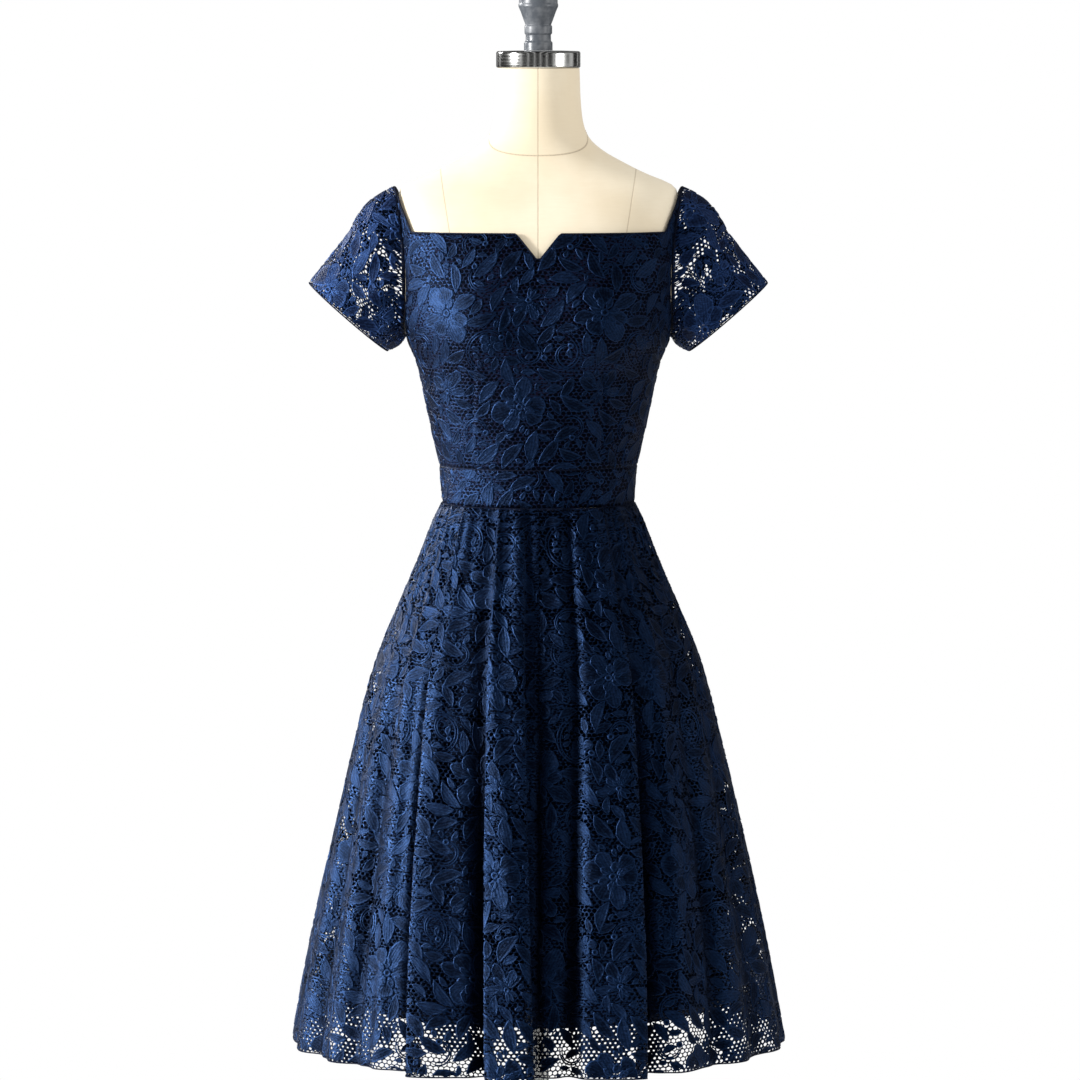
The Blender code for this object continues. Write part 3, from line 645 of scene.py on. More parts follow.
# ---- folds and creases of the cloth
# middle at waist and at hem (degrees), half width, lean of the crest, lift at waist and at hem
frontFolds = (
    (-72.0, -70.0, 8.0, 0.20, 0.0010, 0.0090),
    (-53.0, -51.0, 7.0, -0.30, 0.0015, 0.0110),
    (-40.0, -38.5, 4.8, -0.30, 0.0010, 0.0080),
    (-20.0, -18.5, 9.0, -0.82, 0.0050, 0.0265),
    (-6.0, -5.0, 5.0, -0.72, 0.0020, 0.0220),
    (-11.0, -3.0, 2.2, 0.30, 0.0030, 0.0030),
    (-5.8, -5.6, 3.4, 0.84, 0.0030, 0.0130),
    (12.0, 11.5, 11.1, 0.80, 0.0060, 0.0265),
    (7.5, 6.2, 2.8, 0.10, -0.0030, -0.0120),
    (36.0, 35.0, 8.0, -0.20, 0.0015, 0.0120),
    (52.5, 51.0, 7.5, 0.30, 0.0010, 0.0090),
    (70.0, 69.0, 8.5, 0.20, 0.0010, 0.0080),
)
backFolds = (
    (109.0, 108.0, 8.0, -0.20, 0.0010, 0.0090),
    (127.0, 127.0, 8.5, 0.30, 0.0015, 0.0120),
    (150.0, 151.0, 9.5, -0.80, 0.0025, 0.0210),
    (168.0, 168.0, 6.0, -0.60, 0.0020, 0.0160),
    (191.0, 192.0, 6.5, 0.60, 0.0020, 0.0150),
    (210.0, 209.0, 9.5, 0.80, 0.0025, 0.0220),
    (233.0, 233.0, 8.5, -0.30, 0.0015, 0.0120),
    (252.0, 252.0, 8.0, 0.20, 0.0010, 0.0090),
)
# softer marks: degrees at waist and at hem, where it starts and ends down the skirt,
# half width in degrees, height of the ridge or depth of the trough
skirtCreases = (
    (0.10, 0.10, 0.00, 1.40, 0.60, -0.0050),
    (-30.0, -30.2, 0.05, 1.40, 2.4, -0.0085), (-12.6, -11.8, 0.10, 1.40, 1.7, -0.0065),
    (24.6, 25.2, 0.05, 1.40, 2.4, -0.0105), (45.5, 44.8, 0.20, 1.40, 2.0, -0.0060),
    (-47.5, -46.5, 0.15, 1.40, 2.2, -0.0060), (-64.5, -62.0, 0.25, 1.40, 2.4, -0.0055),
    (62.0, 60.8, 0.25, 1.40, 2.2, -0.0055), (-40.5, -41.0, 0.30, 1.40, 1.4, -0.0040),
    (-84.0, -82.0, 0.10, 0.75, 2.4, 0.0022), (-79.0, -78.5, 0.35, 1.40, 1.8, -0.0020),
    (-63.0, -61.5, 0.00, 0.70, 2.2, 0.0020), (-60.0, -58.5, 0.45, 1.40, 1.6, 0.0026),
    (-57.0, -55.0, 0.20, 0.95, 1.4, -0.0018), (-46.5, -45.5, 0.00, 0.62, 1.5, 0.0020),
    (-45.0, -44.5, 0.50, 1.40, 1.2, 0.0030), (-36.0, -35.5, 0.10, 0.85, 1.3, -0.0016),
    (-34.0, -32.5, 0.00, 1.40, 1.5, 0.0024), (-30.5, -30.0, 0.30, 1.40, 0.9, -0.0022),
    (-24.0, -23.0, 0.00, 0.55, 1.2, 0.0012), (-19.5, -20.0, 0.15, 0.90, 1.6, -0.0014),
    (-15.5, -15.0, 0.35, 1.40, 1.3, 0.0018), (-12.5, -12.0, 0.00, 0.50, 1.0, -0.0010),
    (-3.0, -1.8, 0.10, 0.80, 0.8, 0.0012), (3.2, 2.6, 0.00, 1.40, 1.0, 0.0016),
    (10.5, 10.0, 0.25, 1.40, 1.3, 0.0018), (14.5, 14.2, 0.00, 0.70, 1.2, -0.0012),
    (17.5, 17.0, 0.30, 1.40, 1.1, 0.0015), (25.0, 25.0, 0.00, 0.55, 1.3, 0.0014),
    (27.5, 28.0, 0.40, 1.40, 1.4, 0.0026), (31.0, 31.0, 0.15, 0.90, 1.2, -0.0018),
    (39.0, 39.5, 0.20, 0.90, 1.2, 0.0022), (42.5, 43.0, 0.00, 1.40, 1.6, 0.0028),
    (46.5, 47.0, 0.45, 1.40, 1.2, -0.0020), (57.0, 56.5, 0.00, 0.65, 1.8, 0.0020),
    (61.5, 60.5, 0.25, 1.40, 1.7, 0.0028), (65.0, 64.5, 0.50, 1.40, 1.3, -0.0018),
    (76.0, 77.0, 0.10, 0.80, 2.0, 0.0022), (82.0, 82.5, 0.40, 1.40, 1.9, 0.0024),
    (96.5, 97.0, 0.00, 1.40, 2.0, 0.0024), (102.0, 101.0, 0.30, 1.40, 1.5, -0.0018),
    (114.5, 114.0, 0.10, 0.80, 1.7, 0.0022), (119.0, 120.0, 0.40, 1.40, 1.6, 0.0028),
    (133.0, 132.0, 0.00, 0.70, 1.5, -0.0016), (138.0, 138.5, 0.25, 1.40, 1.5, 0.0026),
    (146.0, 146.5, 0.00, 0.95, 1.2, 0.0018), (155.5, 155.0, 0.30, 1.40, 1.1, -0.0014),
    (160.0, 161.0, 0.00, 0.65, 1.3, 0.0018), (172.0, 172.0, 0.20, 1.40, 1.2, 0.0018),
    (176.5, 176.0, 0.50, 1.40, 0.9, -0.0012), (185.0, 184.5, 0.40, 1.40, 1.2, 0.0020),
    (197.5, 198.0, 0.00, 0.75, 1.2, 0.0016), (203.0, 203.5, 0.30, 1.40, 1.3, -0.0016),
    (214.0, 215.0, 0.05, 0.85, 1.4, 0.0022), (221.0, 222.0, 0.35, 1.40, 1.7, 0.0028),
    (227.5, 227.0, 0.10, 0.90, 1.3, -0.0018), (240.0, 241.0, 0.00, 1.40, 1.7, 0.0024),
    (246.5, 246.0, 0.45, 1.40, 1.4, -0.0016), (258.5, 259.0, 0.15, 0.90, 1.9, 0.0022),
    (264.5, 264.0, 0.40, 1.40, 1.8, 0.0024),
)
skirtLook = {"fanDegrees": 20.0, "fanShape": 0.7, "fanDrop": 0.6, "foldOver": 2.7, "steepLean": 0.5,
             "gathers": 0.0011, "gatherPitch": 5.3, "wall": 0.0008, "hollowReach": 7.0, "hollowDepth": 0.009,
             "seamDip": 0.0012, "seamReach": 0.7, "rowSpread": 1.05}


def fan(degrees, down):
    # angle of a cloth column that stands at these degrees on the hem
    middle = np.where(np.abs(degrees) <= 90.5, 0.0, 180.0)
    away = degrees - middle
    share = np.minimum(np.abs(away) / 90.0, 1.0)
    gather = skirtLook["fanDegrees"] * np.sin(math.pi * share ** skirtLook["fanShape"])
    return middle + away + np.copysign(gather, away) * (1.0 - down ** skirtLook["fanDrop"])


def foldShape(folds, degrees, down):
    # outward lift of the folds and how far their steep sides turn under, in degrees
    lift = np.zeros(np.broadcast(degrees, down).shape)
    turn = np.zeros_like(lift)
    for waist, hem, reach, lean, waistLift, hemLift in folds:
        place = (degrees - mix(waist, hem, down)) / reach
        rise = np.where(place < lean, (place + 1.0) / (lean + 1.0), (1.0 - place) / (1.0 - lean))
        rise = np.clip(rise, 0.0, 1.0)
        crest = rise * rise * (3.0 - 2.0 * rise)
        lift += mix(waistLift, hemLift, down**0.9) * crest
        if abs(lean) >= skirtLook["steepLean"]:
            turn += math.copysign(skirtLook["foldOver"], lean) * crest * down**0.6
    return lift, turn


def creaseLift(creases, degrees, down):
    total = np.zeros(np.broadcast(degrees, down).shape)
    for waist, hem, start, end, reach, lift in creases:
        across = (degrees - mix(waist, hem, down)) / reach
        ease = 0.45 * (end - start)
        along = smooth(down, start - 0.03, start + ease) * (1.0 - smooth(down, end - ease, end))
        total += lift * np.exp(-across * across) * along
    return total


def lineCreases(points, table, front):
    # pushes the cloth in or out along short lines given by x and height at both ends
    outward = gridNormals(points)
    total = np.zeros(points.shape[:2])
    x, z = points[..., 0], points[..., 2]
    for x0, z0, x1, z1, reach, lift in table:
        length = math.hypot(x1 - x0, z1 - z0)
        along = ((x - x0) * (x1 - x0) + (z - z0) * (z1 - z0)) / length**2
        away = ((x - x0) * (z1 - z0) - (z - z0) * (x1 - x0)) / length
        ends = smooth(along, -0.15, 0.25) * (1.0 - smooth(along, 0.70, 1.15))
        total += lift * np.exp(-(away / reach) ** 2) * ends
    side = points[..., 1] < 0.01 if front else points[..., 1] > -0.01
    return points + outward * (total * side)[..., None]


def seamRoll(points, depth, reach, sides="lrtb"):
    # rounds the cloth into its seams: the face dips towards the chosen edges
    along, down = arcLengths(points, 1), arcLengths(points, 0)
    gaps = {"l": along, "r": along[:, -1:] - along, "t": down, "b": down[-1:] - down}
    dip = np.zeros(points.shape[:2])
    for side in sides:
        dip = np.maximum(dip, np.exp(-(gaps[side] / reach) ** 2))
    return points - gridNormals(points) * (depth * dip)[..., None]


def spacedColumns(start, end, count, places):
    # even columns drawn closer together around places given as (middle, half width, extra)
    fine = np.linspace(start, end, 4000)
    weight = np.ones_like(fine)
    for middle, reach, extra in places:
        weight += extra * np.exp(-((fine - middle) / reach) ** 2)
    grown = np.concatenate(([0.0], np.cumsum((weight[1:] + weight[:-1]) / 2)))
    return np.interp(np.linspace(0.0, grown[-1], count), grown, fine)


# ---- bodice and waistband
bandTop, waist, strap = 1.067, 1.022, 1.385
necklineHeight, notchHeight, backNeck = 1.344, 1.312, 1.330
bodiceLook = {
    "wall": 0.0014, "rows": 82, "frontColumns": 154, "backColumns": 76, "bandRows": 16,
    "notchHalf": 0.026, "cornerX": 0.150, "seamShare": 0.00225, "seamDip": 0.0007, "seamReach": 0.0028,
    "bandWaver": 0.0004,
}
# x and height at both ends, half width, lift
bodiceFrontCreases = (
    (-0.0790, 1.068, -0.0740, 1.212, 0.0022, -0.0016), (0.0750, 1.068, 0.0765, 1.200, 0.0022, -0.0016),
    (-0.0730, 1.075, -0.0680, 1.205, 0.0050, 0.0009), (0.0820, 1.075, 0.0830, 1.195, 0.0050, 0.0009),
    (-0.135, 1.165, -0.085, 1.185, 0.0060, -0.0014), (0.134, 1.158, 0.088, 1.180, 0.0060, -0.0014),
    (-0.128, 1.105, -0.082, 1.092, 0.0050, 0.0012), (0.127, 1.112, 0.084, 1.098, 0.0055, 0.0012),
    (-0.055, 1.100, 0.030, 1.094, 0.0050, 0.0010), (-0.035, 1.082, 0.060, 1.085, 0.0045, -0.0009),
    (-0.150, 1.255, -0.112, 1.280, 0.0060, -0.0014), (0.150, 1.262, 0.108, 1.288, 0.0065, -0.0014),
    (-0.146, 1.300, -0.105, 1.322, 0.0060, 0.0010), (0.147, 1.305, 0.110, 1.325, 0.0060, 0.0010),
    (-0.030, 1.205, 0.036, 1.212, 0.0075, -0.0016), (-0.026, 1.250, 0.028, 1.244, 0.0090, 0.0010),
    (-0.120, 1.135, -0.086, 1.128, 0.0045, -0.0010), (0.118, 1.138, 0.090, 1.134, 0.0045, -0.0009),
)
bodiceBackCreases = (
    (-0.0720, 1.068, -0.0700, 1.190, 0.0022, -0.0015), (0.0720, 1.068, 0.0700, 1.190, 0.0022, -0.0015),
    (-0.130, 1.150, -0.060, 1.165, 0.0065, -0.0014), (0.130, 1.146, 0.062, 1.162, 0.0065, -0.0014),
    (-0.125, 1.102, -0.030, 1.094, 0.0055, 0.0014), (0.125, 1.108, 0.034, 1.098, 0.0055, 0.0013),
    (-0.120, 1.085, -0.050, 1.079, 0.0045, -0.0012), (0.118, 1.086, 0.044, 1.080, 0.0045, -0.0012),
    (-0.148, 1.265, -0.100, 1.290, 0.0070, 0.0012), (0.148, 1.260, 0.105, 1.285, 0.0070, 0.0012),
    (-0.105, 1.215, -0.040, 1.230, 0.0080, -0.0012), (0.108, 1.210, 0.042, 1.226, 0.0080, -0.0012),
)


def necklineAt(x, neckHeight, notch):
    reach = np.abs(x)
    edge = bodiceStack.points(necklineHeight, armholeDegrees(necklineHeight, "front"))[..., 0]
    inner = mix(notch, neckHeight, np.minimum(reach / bodiceLook["notchHalf"], 1.0))
    rise = np.clip((reach - bodiceLook["cornerX"]) / (edge - bodiceLook["cornerX"]), 0.0, 1.0)
    return np.where(reach < bodiceLook["cornerX"], inner, mix(neckHeight, strap, rise))


def bodiceGrid(shares, face, neckHeight, notch):
    bottom = bandTop + seamGap
    edge = armholeDegrees(necklineHeight, face)
    start = bodiceStack.points(necklineHeight, shares * edge)
    top = necklineAt(start[..., 0], neckHeight, notch)
    up = np.linspace(1.0, 0.0, bodiceLook["rows"])[:, None]
    height = mix(bottom, top[None, :], up)
    degrees = shares[None, :] * armholeDegrees(height, face)
    if face == "back":
        degrees = 180.0 - degrees
    points = addBust(bodiceStack.points(height, degrees), degrees)
    table = bodiceFrontCreases if face == "front" else bodiceBackCreases
    points = lineCreases(points, table, face == "front")
    return seamRoll(points, bodiceLook["seamDip"], bodiceLook["seamReach"])


def levelCloth(points, reference):
    # flat place of each corner: across along the row from one column, down from the foot
    across = arcLengths(points * np.array((1.0, 1.0, 0.0)), 1)
    down = arcLengths(points, 0)
    return np.stack((across - across[:, reference:reference + 1], down - down[-1:]), axis=-1)


frontShares = spacedColumns(-1.0, 1.0, bodiceLook["frontColumns"],
                            ((-0.33, 0.05, 1.2), (0.33, 0.05, 1.2), (0.0, 0.08, 1.0),
                             (-0.80, 0.10, 0.5), (0.80, 0.10, 0.5)))
halfShares = spacedColumns(bodiceLook["seamShare"], 1.0, bodiceLook["backColumns"],
                           ((0.0, 0.04, 2.0), (0.33, 0.06, 0.8), (0.9, 0.1, 0.5)))
grids = {
    "bodiceFront": bodiceGrid(frontShares, "front", necklineHeight, notchHeight),
    "bodiceBackLeft": bodiceGrid(halfShares[::-1], "back", backNeck, backNeck),
    "bodiceBackRight": bodiceGrid(-halfShares, "back", backNeck, backNeck),
}
bandSpans = {"waistbandFront": (-89.8, 89.8), "waistbandBackLeft": (90.2, 179.8),
             "waistbandBackRight": (180.2, 269.8)}
for name, (start, end) in bandSpans.items():
    columns = bodiceLook["frontColumns"] if name == "waistbandFront" else bodiceLook["backColumns"]
    degrees = np.linspace(start, end, columns)[None, :]
    height = np.linspace(bandTop - seamGap, waist + seamGap, bodiceLook["bandRows"])[:, None]
    points = bodiceStack.points(height, degrees)
    waver = bodiceLook["bandWaver"] * np.sin(np.radians(degrees * 3.1) + height * 90.0)
    points = points + gridNormals(points) * waver[..., None]
    grids[name] = seamRoll(points, bodiceLook["seamDip"], bodiceLook["seamReach"])


# ---- sleeves
sleeveLook = {"wall": 0.0008, "turns": 168, "rows": 46, "spread": 0.008, "startGap": 0.0010, "corner": 140.0,
              "shoulderX": 0.1710, "shoulder": 1.3960, "underarm": 1.217, "depth": 0.050, "backDrop": 0.006,
              "crownSwell": 0.0075, "crownReach": 34.0, "slope": (0.66, -0.75), "shuffle": 5.0}
cuffMiddle, cuffHalf = np.array((0.2245, 0.0, 1.2420)), np.array((0.0465, 0.0, 0.0405))
# turn round the sleeve at both ends of the crease, share down at both ends, half width, lift;
# 0 is the underarm, 90 the front, 180 the shoulder
sleeveCreases = (
    (62.0, 78.0, 0.05, 0.85, 7.0, -0.0040), (74.0, 92.0, 0.00, 0.70, 6.0, 0.0026),
    (100.0, 112.0, 0.10, 0.75, 6.0, -0.0022), (122.0, 128.0, 0.00, 0.60, 7.0, 0.0022),
    (40.0, 50.0, 0.20, 0.95, 7.0, 0.0024), (22.0, 26.0, 0.00, 0.70, 6.0, -0.0022),
    (140.0, 146.0, 0.25, 0.95, 7.0, -0.0018), (168.0, 172.0, 0.10, 0.70, 8.0, 0.0016),
    (205.0, 200.0, 0.05, 0.70, 7.0, -0.0020), (232.0, 222.0, 0.15, 0.90, 7.0, 0.0026),
    (252.0, 246.0, 0.00, 0.80, 7.0, -0.0030), (280.0, 268.0, 0.10, 0.85, 7.0, 0.0024),
    (306.0, 298.0, 0.00, 0.75, 6.0, -0.0022), (332.0, 326.0, 0.20, 0.90, 7.0, 0.0020),
)


def sleeveStart(turn):
    # the sleeve's first ring follows the armhole and then runs free over the shoulder
    face = "front" if turn <= 180.0 else "back"
    sign = -1.0 if face == "front" else 1.0
    part = min(turn, 360.0 - turn) / sleeveLook["corner"]
    if part <= 1.0:
        height = mix(sleeveLook["underarm"], strap, part**1.25)
        degrees = armholeDegrees(height, face) if height > sleeveLook["underarm"] else 89.8
        degrees = degrees if face == "front" else 180.0 - degrees
        point = addBust(bodiceStack.points(height, degrees), degrees)
        under = max(0.0, 1.0 - part * 4.0)
        return point + np.array((sleeveLook["startGap"], 0.0, sleeveLook["startGap"] * 1.6 * under))
    corner = sleeveStart(sleeveLook["corner"] if face == "front" else 360.0 - sleeveLook["corner"])
    share = (180.0 - min(turn, 360.0 - turn)) / (180.0 - sleeveLook["corner"])
    crown = 1.0 - share**1.6
    return np.array((mix(corner[0], sleeveLook["shoulderX"], 1.0 - share), sign * abs(corner[1]) * share,
                     mix(corner[2], sleeveLook["shoulder"], crown)))


def sleeveGrid(seed):
    turns = np.linspace(0.0, 360.0, sleeveLook["turns"], endpoint=False)
    angle = np.radians(turns)
    start = np.array([sleeveStart(turn) for turn in turns])
    end = cuffMiddle - cuffHalf * np.cos(angle)[:, None]
    end[:, 1] -= sleeveLook["depth"] * np.sin(angle)
    end[:, 2] -= sleeveLook["backDrop"] * np.maximum(0.0, -np.sin(angle))
    down = np.linspace(0.0, 1.0, sleeveLook["rows"])[:, None]
    swell = sleeveLook["spread"] * np.sin(math.pi * down) * (1.0 - down * 0.4)
    away = np.stack((-0.3 * np.cos(angle), -np.sin(angle), -0.4 * np.cos(angle)), axis=-1)
    points = mix(start[None], end[None], down[..., None]) + away[None] * swell[..., None]
    shuffle = random.Random(seed)
    total = np.zeros(points.shape[:2])
    for first, last, begin, finish, reach, lift in sleeveCreases:
        middle = mix(first, last, down) + shuffle.uniform(-sleeveLook["shuffle"], sleeveLook["shuffle"])
        ease = 0.4 * (finish - begin)
        along = smooth(down, begin - 0.05, begin + ease) * (1.0 - smooth(down, finish - ease, finish + 0.1))
        total += lift * shuffle.uniform(0.7, 1.2) * np.exp(-((turns[None] - middle) / reach) ** 2) * along
    crown = np.exp(-((turns[None] - 180.0) / sleeveLook["crownReach"]) ** 2)
    crown = crown * np.sin(math.pi * np.clip(down / 0.5, 0.0, 1.0))
    total += sleeveLook["crownSwell"] * crown
    return points + gridNormals(points, True) * total[..., None]


def sleeveCloth(points):
    # flat place of each corner: round from the shoulder, and down the sleeve's own slope
    ring = np.concatenate((points, points[:, :1]), axis=1)
    aside, fall = sleeveLook["slope"]
    slope = np.array((math.copysign(aside, points[..., 0].mean()), 0.0, fall))
    down = ring @ slope
    across = arcLengths(ring - down[..., None] * slope, 1)
    middle = sleeveLook["turns"] // 2
    return np.stack((across - across[:, middle:middle + 1], -down), axis=-1)


grids["sleeveLeft"] = sleeveGrid(5)
mirrored = sleeveGrid(11) * np.array((-1.0, 1.0, 1.0))
grids["sleeveRight"] = np.roll(mirrored[:, ::-1], 1, axis=1)


# ---- skirt and lining
hem, liningHem = 0.380, 0.428
skirtSpans = {
    "skirtFront": (-89.9, 89.9, 214, 112, frontFolds, (-27.5, -10.0, 0.0, 22.6)),
    "skirtBackLeft": (90.1, 179.92, 110, 98, backFolds, (141.5,)),
    "skirtBackRight": (180.08, 269.9, 110, 98, backFolds, (218.5,)),
}
cloths, hollows = {}, {}


def skirtGrid(start, end, columns, rows, folds):
    steep = [fold for fold in folds if abs(fold[3]) >= skirtLook["steepLean"]]
    places = [(fold[1] + math.copysign(fold[2] * 0.93, fold[3]), 2.2, 2.6) for fold in steep]
    places += [(0.0, 1.6, 2.5), (7.0, 3.0, 0.6), (180.0, 1.0, 1.0)]
    degrees = spacedColumns(start, end, columns, places)[None, :]
    down = np.linspace(0.0, 1.0, rows)[:, None] ** skirtLook["rowSpread"]
    height = mix(waist - seamGap, hem, down)
    lift, turn = foldShape(folds, degrees, down)
    lift = lift + creaseLift(skirtCreases, degrees, down)
    gathers = np.cos(2 * math.pi * degrees / skirtLook["gatherPitch"] + 1.7 * np.sin(degrees * 0.21))
    lift = lift + skirtLook["gathers"] * gathers * smooth(down, 0.0, 0.03) * (1.0 - smooth(down, 0.10, 0.38))
    gap = np.minimum(np.abs(degrees - start), np.abs(degrees - end))
    lift = lift - skirtLook["seamDip"] * np.exp(-(gap / skirtLook["seamReach"]) ** 2)
    turn = turn * smooth(gap, 0.0, 3.0)
    points = skirtStack.points(height, fan(degrees, down) + turn, lift)
    # how far each point lies below the folds around it, kept as the hollow attribute that sets the painted
    # shade of the lace
    nearby = np.exp(-((degrees[0][:, None] - degrees[0][None, :]) / skirtLook["hollowReach"]) ** 2)
    nearby *= np.gradient(degrees[0])[None, :]
    level = lift @ (nearby / nearby.sum(axis=1, keepdims=True)).T
    hollow = np.clip((level - lift) / skirtLook["hollowDepth"], 0.0, 1.0)
    return points, degrees[0], hollow


def panelCloth(points, degrees, bounds):
    # the lace runs straight down the middle of each panel between two deep folds
    across, down = arcLengths(points, 1), arcLengths(points, 0)
    edges = (degrees[0] - 1.0,) + tuple(bounds) + (degrees[-1] + 1.0,)
    middles = (degrees[:-1] + degrees[1:]) / 2
    left = np.zeros((points.shape[0], len(middles), 2))
    right = np.zeros_like(left)
    offset = 0.0
    for low, high in zip(edges, edges[1:]):
        mine = np.flatnonzero((middles >= low) & (middles < high))
        reference = mine[len(mine) // 2]
        shifted = across - across[:, reference:reference + 1]
        offset -= shifted[:, mine[0]].min()
        left[:, mine, 0] = shifted[:, mine] + offset
        right[:, mine, 0] = shifted[:, mine + 1] + offset
        offset = right[:, mine, 0].max() + 0.02
    left[..., 1] = -down[:, :-1]
    right[..., 1] = -down[:, 1:]
    return left, right


for name, (start, end, columns, rows, folds, bounds) in skirtSpans.items():
    points, degrees, hollows[name] = skirtGrid(start, end, columns, rows, folds)
    grids[name] = points
    cloths[name] = panelCloth(points, degrees, bounds)

liningLook = {"top": 1.0205, "rows": 64, "ripple": 0.0024, "drift": 0.0016}
liningSpans = {"liningFront": (-89.9, 89.9, 120), "liningBackLeft": (90.1, 179.92, 60),
               "liningBackRight": (180.08, 269.9, 60)}
for name, (start, end, columns) in liningSpans.items():
    degrees = np.linspace(start, end, columns)[None, :]
    height = np.linspace(liningLook["top"], liningHem, liningLook["rows"])[:, None]
    down = (liningLook["top"] - height) / (liningLook["top"] - liningHem)
    ripple = np.sin(np.radians(degrees * 9.0) + 1.3 * np.sin(np.radians(degrees * 4.0)))
    drift = np.sin(np.radians(degrees * 5.0 + 60.0 * down))
    lift = (ripple * liningLook["ripple"] + drift * liningLook["drift"]) * down
    grids[name] = liningStack.points(height, degrees, lift)
print("cloth shapes worked out")


# ---- one repeat of the lace, drawn flat
tileLook = {
    "width": 0.190, "height": 0.230, "seed": 23, "lift": 0.00028, "cord": 0.00040, "margin": 0.0008,
    "outline": 12, "smallOutline": 9, "smallLength": 0.017, "wobble": 0.0016,
}
# x, y, radius, petals, turn of the first petal, how far round the petals spread
laceFlowers = (
    (0.050, 0.060, 0.0400, 7, 14.0, 360.0), (0.140, 0.178, 0.0370, 6, 50.0, 360.0),
    (0.150, 0.050, 0.0300, 5, 40.0, 175.0), (0.046, 0.160, 0.0320, 5, -160.0, 190.0),
    (0.106, 0.100, 0.0150, 5, 10.0, 360.0),
)
# x, y, radius, first and last turn, space between its two cords
laceScrolls = (
    (0.104, 0.106, 0.0290, 95.0, 320.0, 0.0042), (0.186, 0.112, 0.0250, -70.0, 160.0, 0.0040),
    (0.098, 0.016, 0.0200, 20.0, 225.0, 0.0036), (0.008, 0.116, 0.0170, 60.0, 280.0, 0.0036),
    (0.088, 0.208, 0.0160, 140.0, 370.0, 0.0034), (0.152, 0.112, 0.0140, -30.0, 190.0, 0.0032),
    (0.010, 0.205, 0.0150, -120.0, 90.0, 0.0032),
)
# leaf lengths to fit between them: length, width share, tries
laceLeaves = ((0.038, 0.40, 260), (0.030, 0.42, 420), (0.022, 0.46, 620), (0.0160, 0.50, 800),
              (0.0105, 0.62, 900))


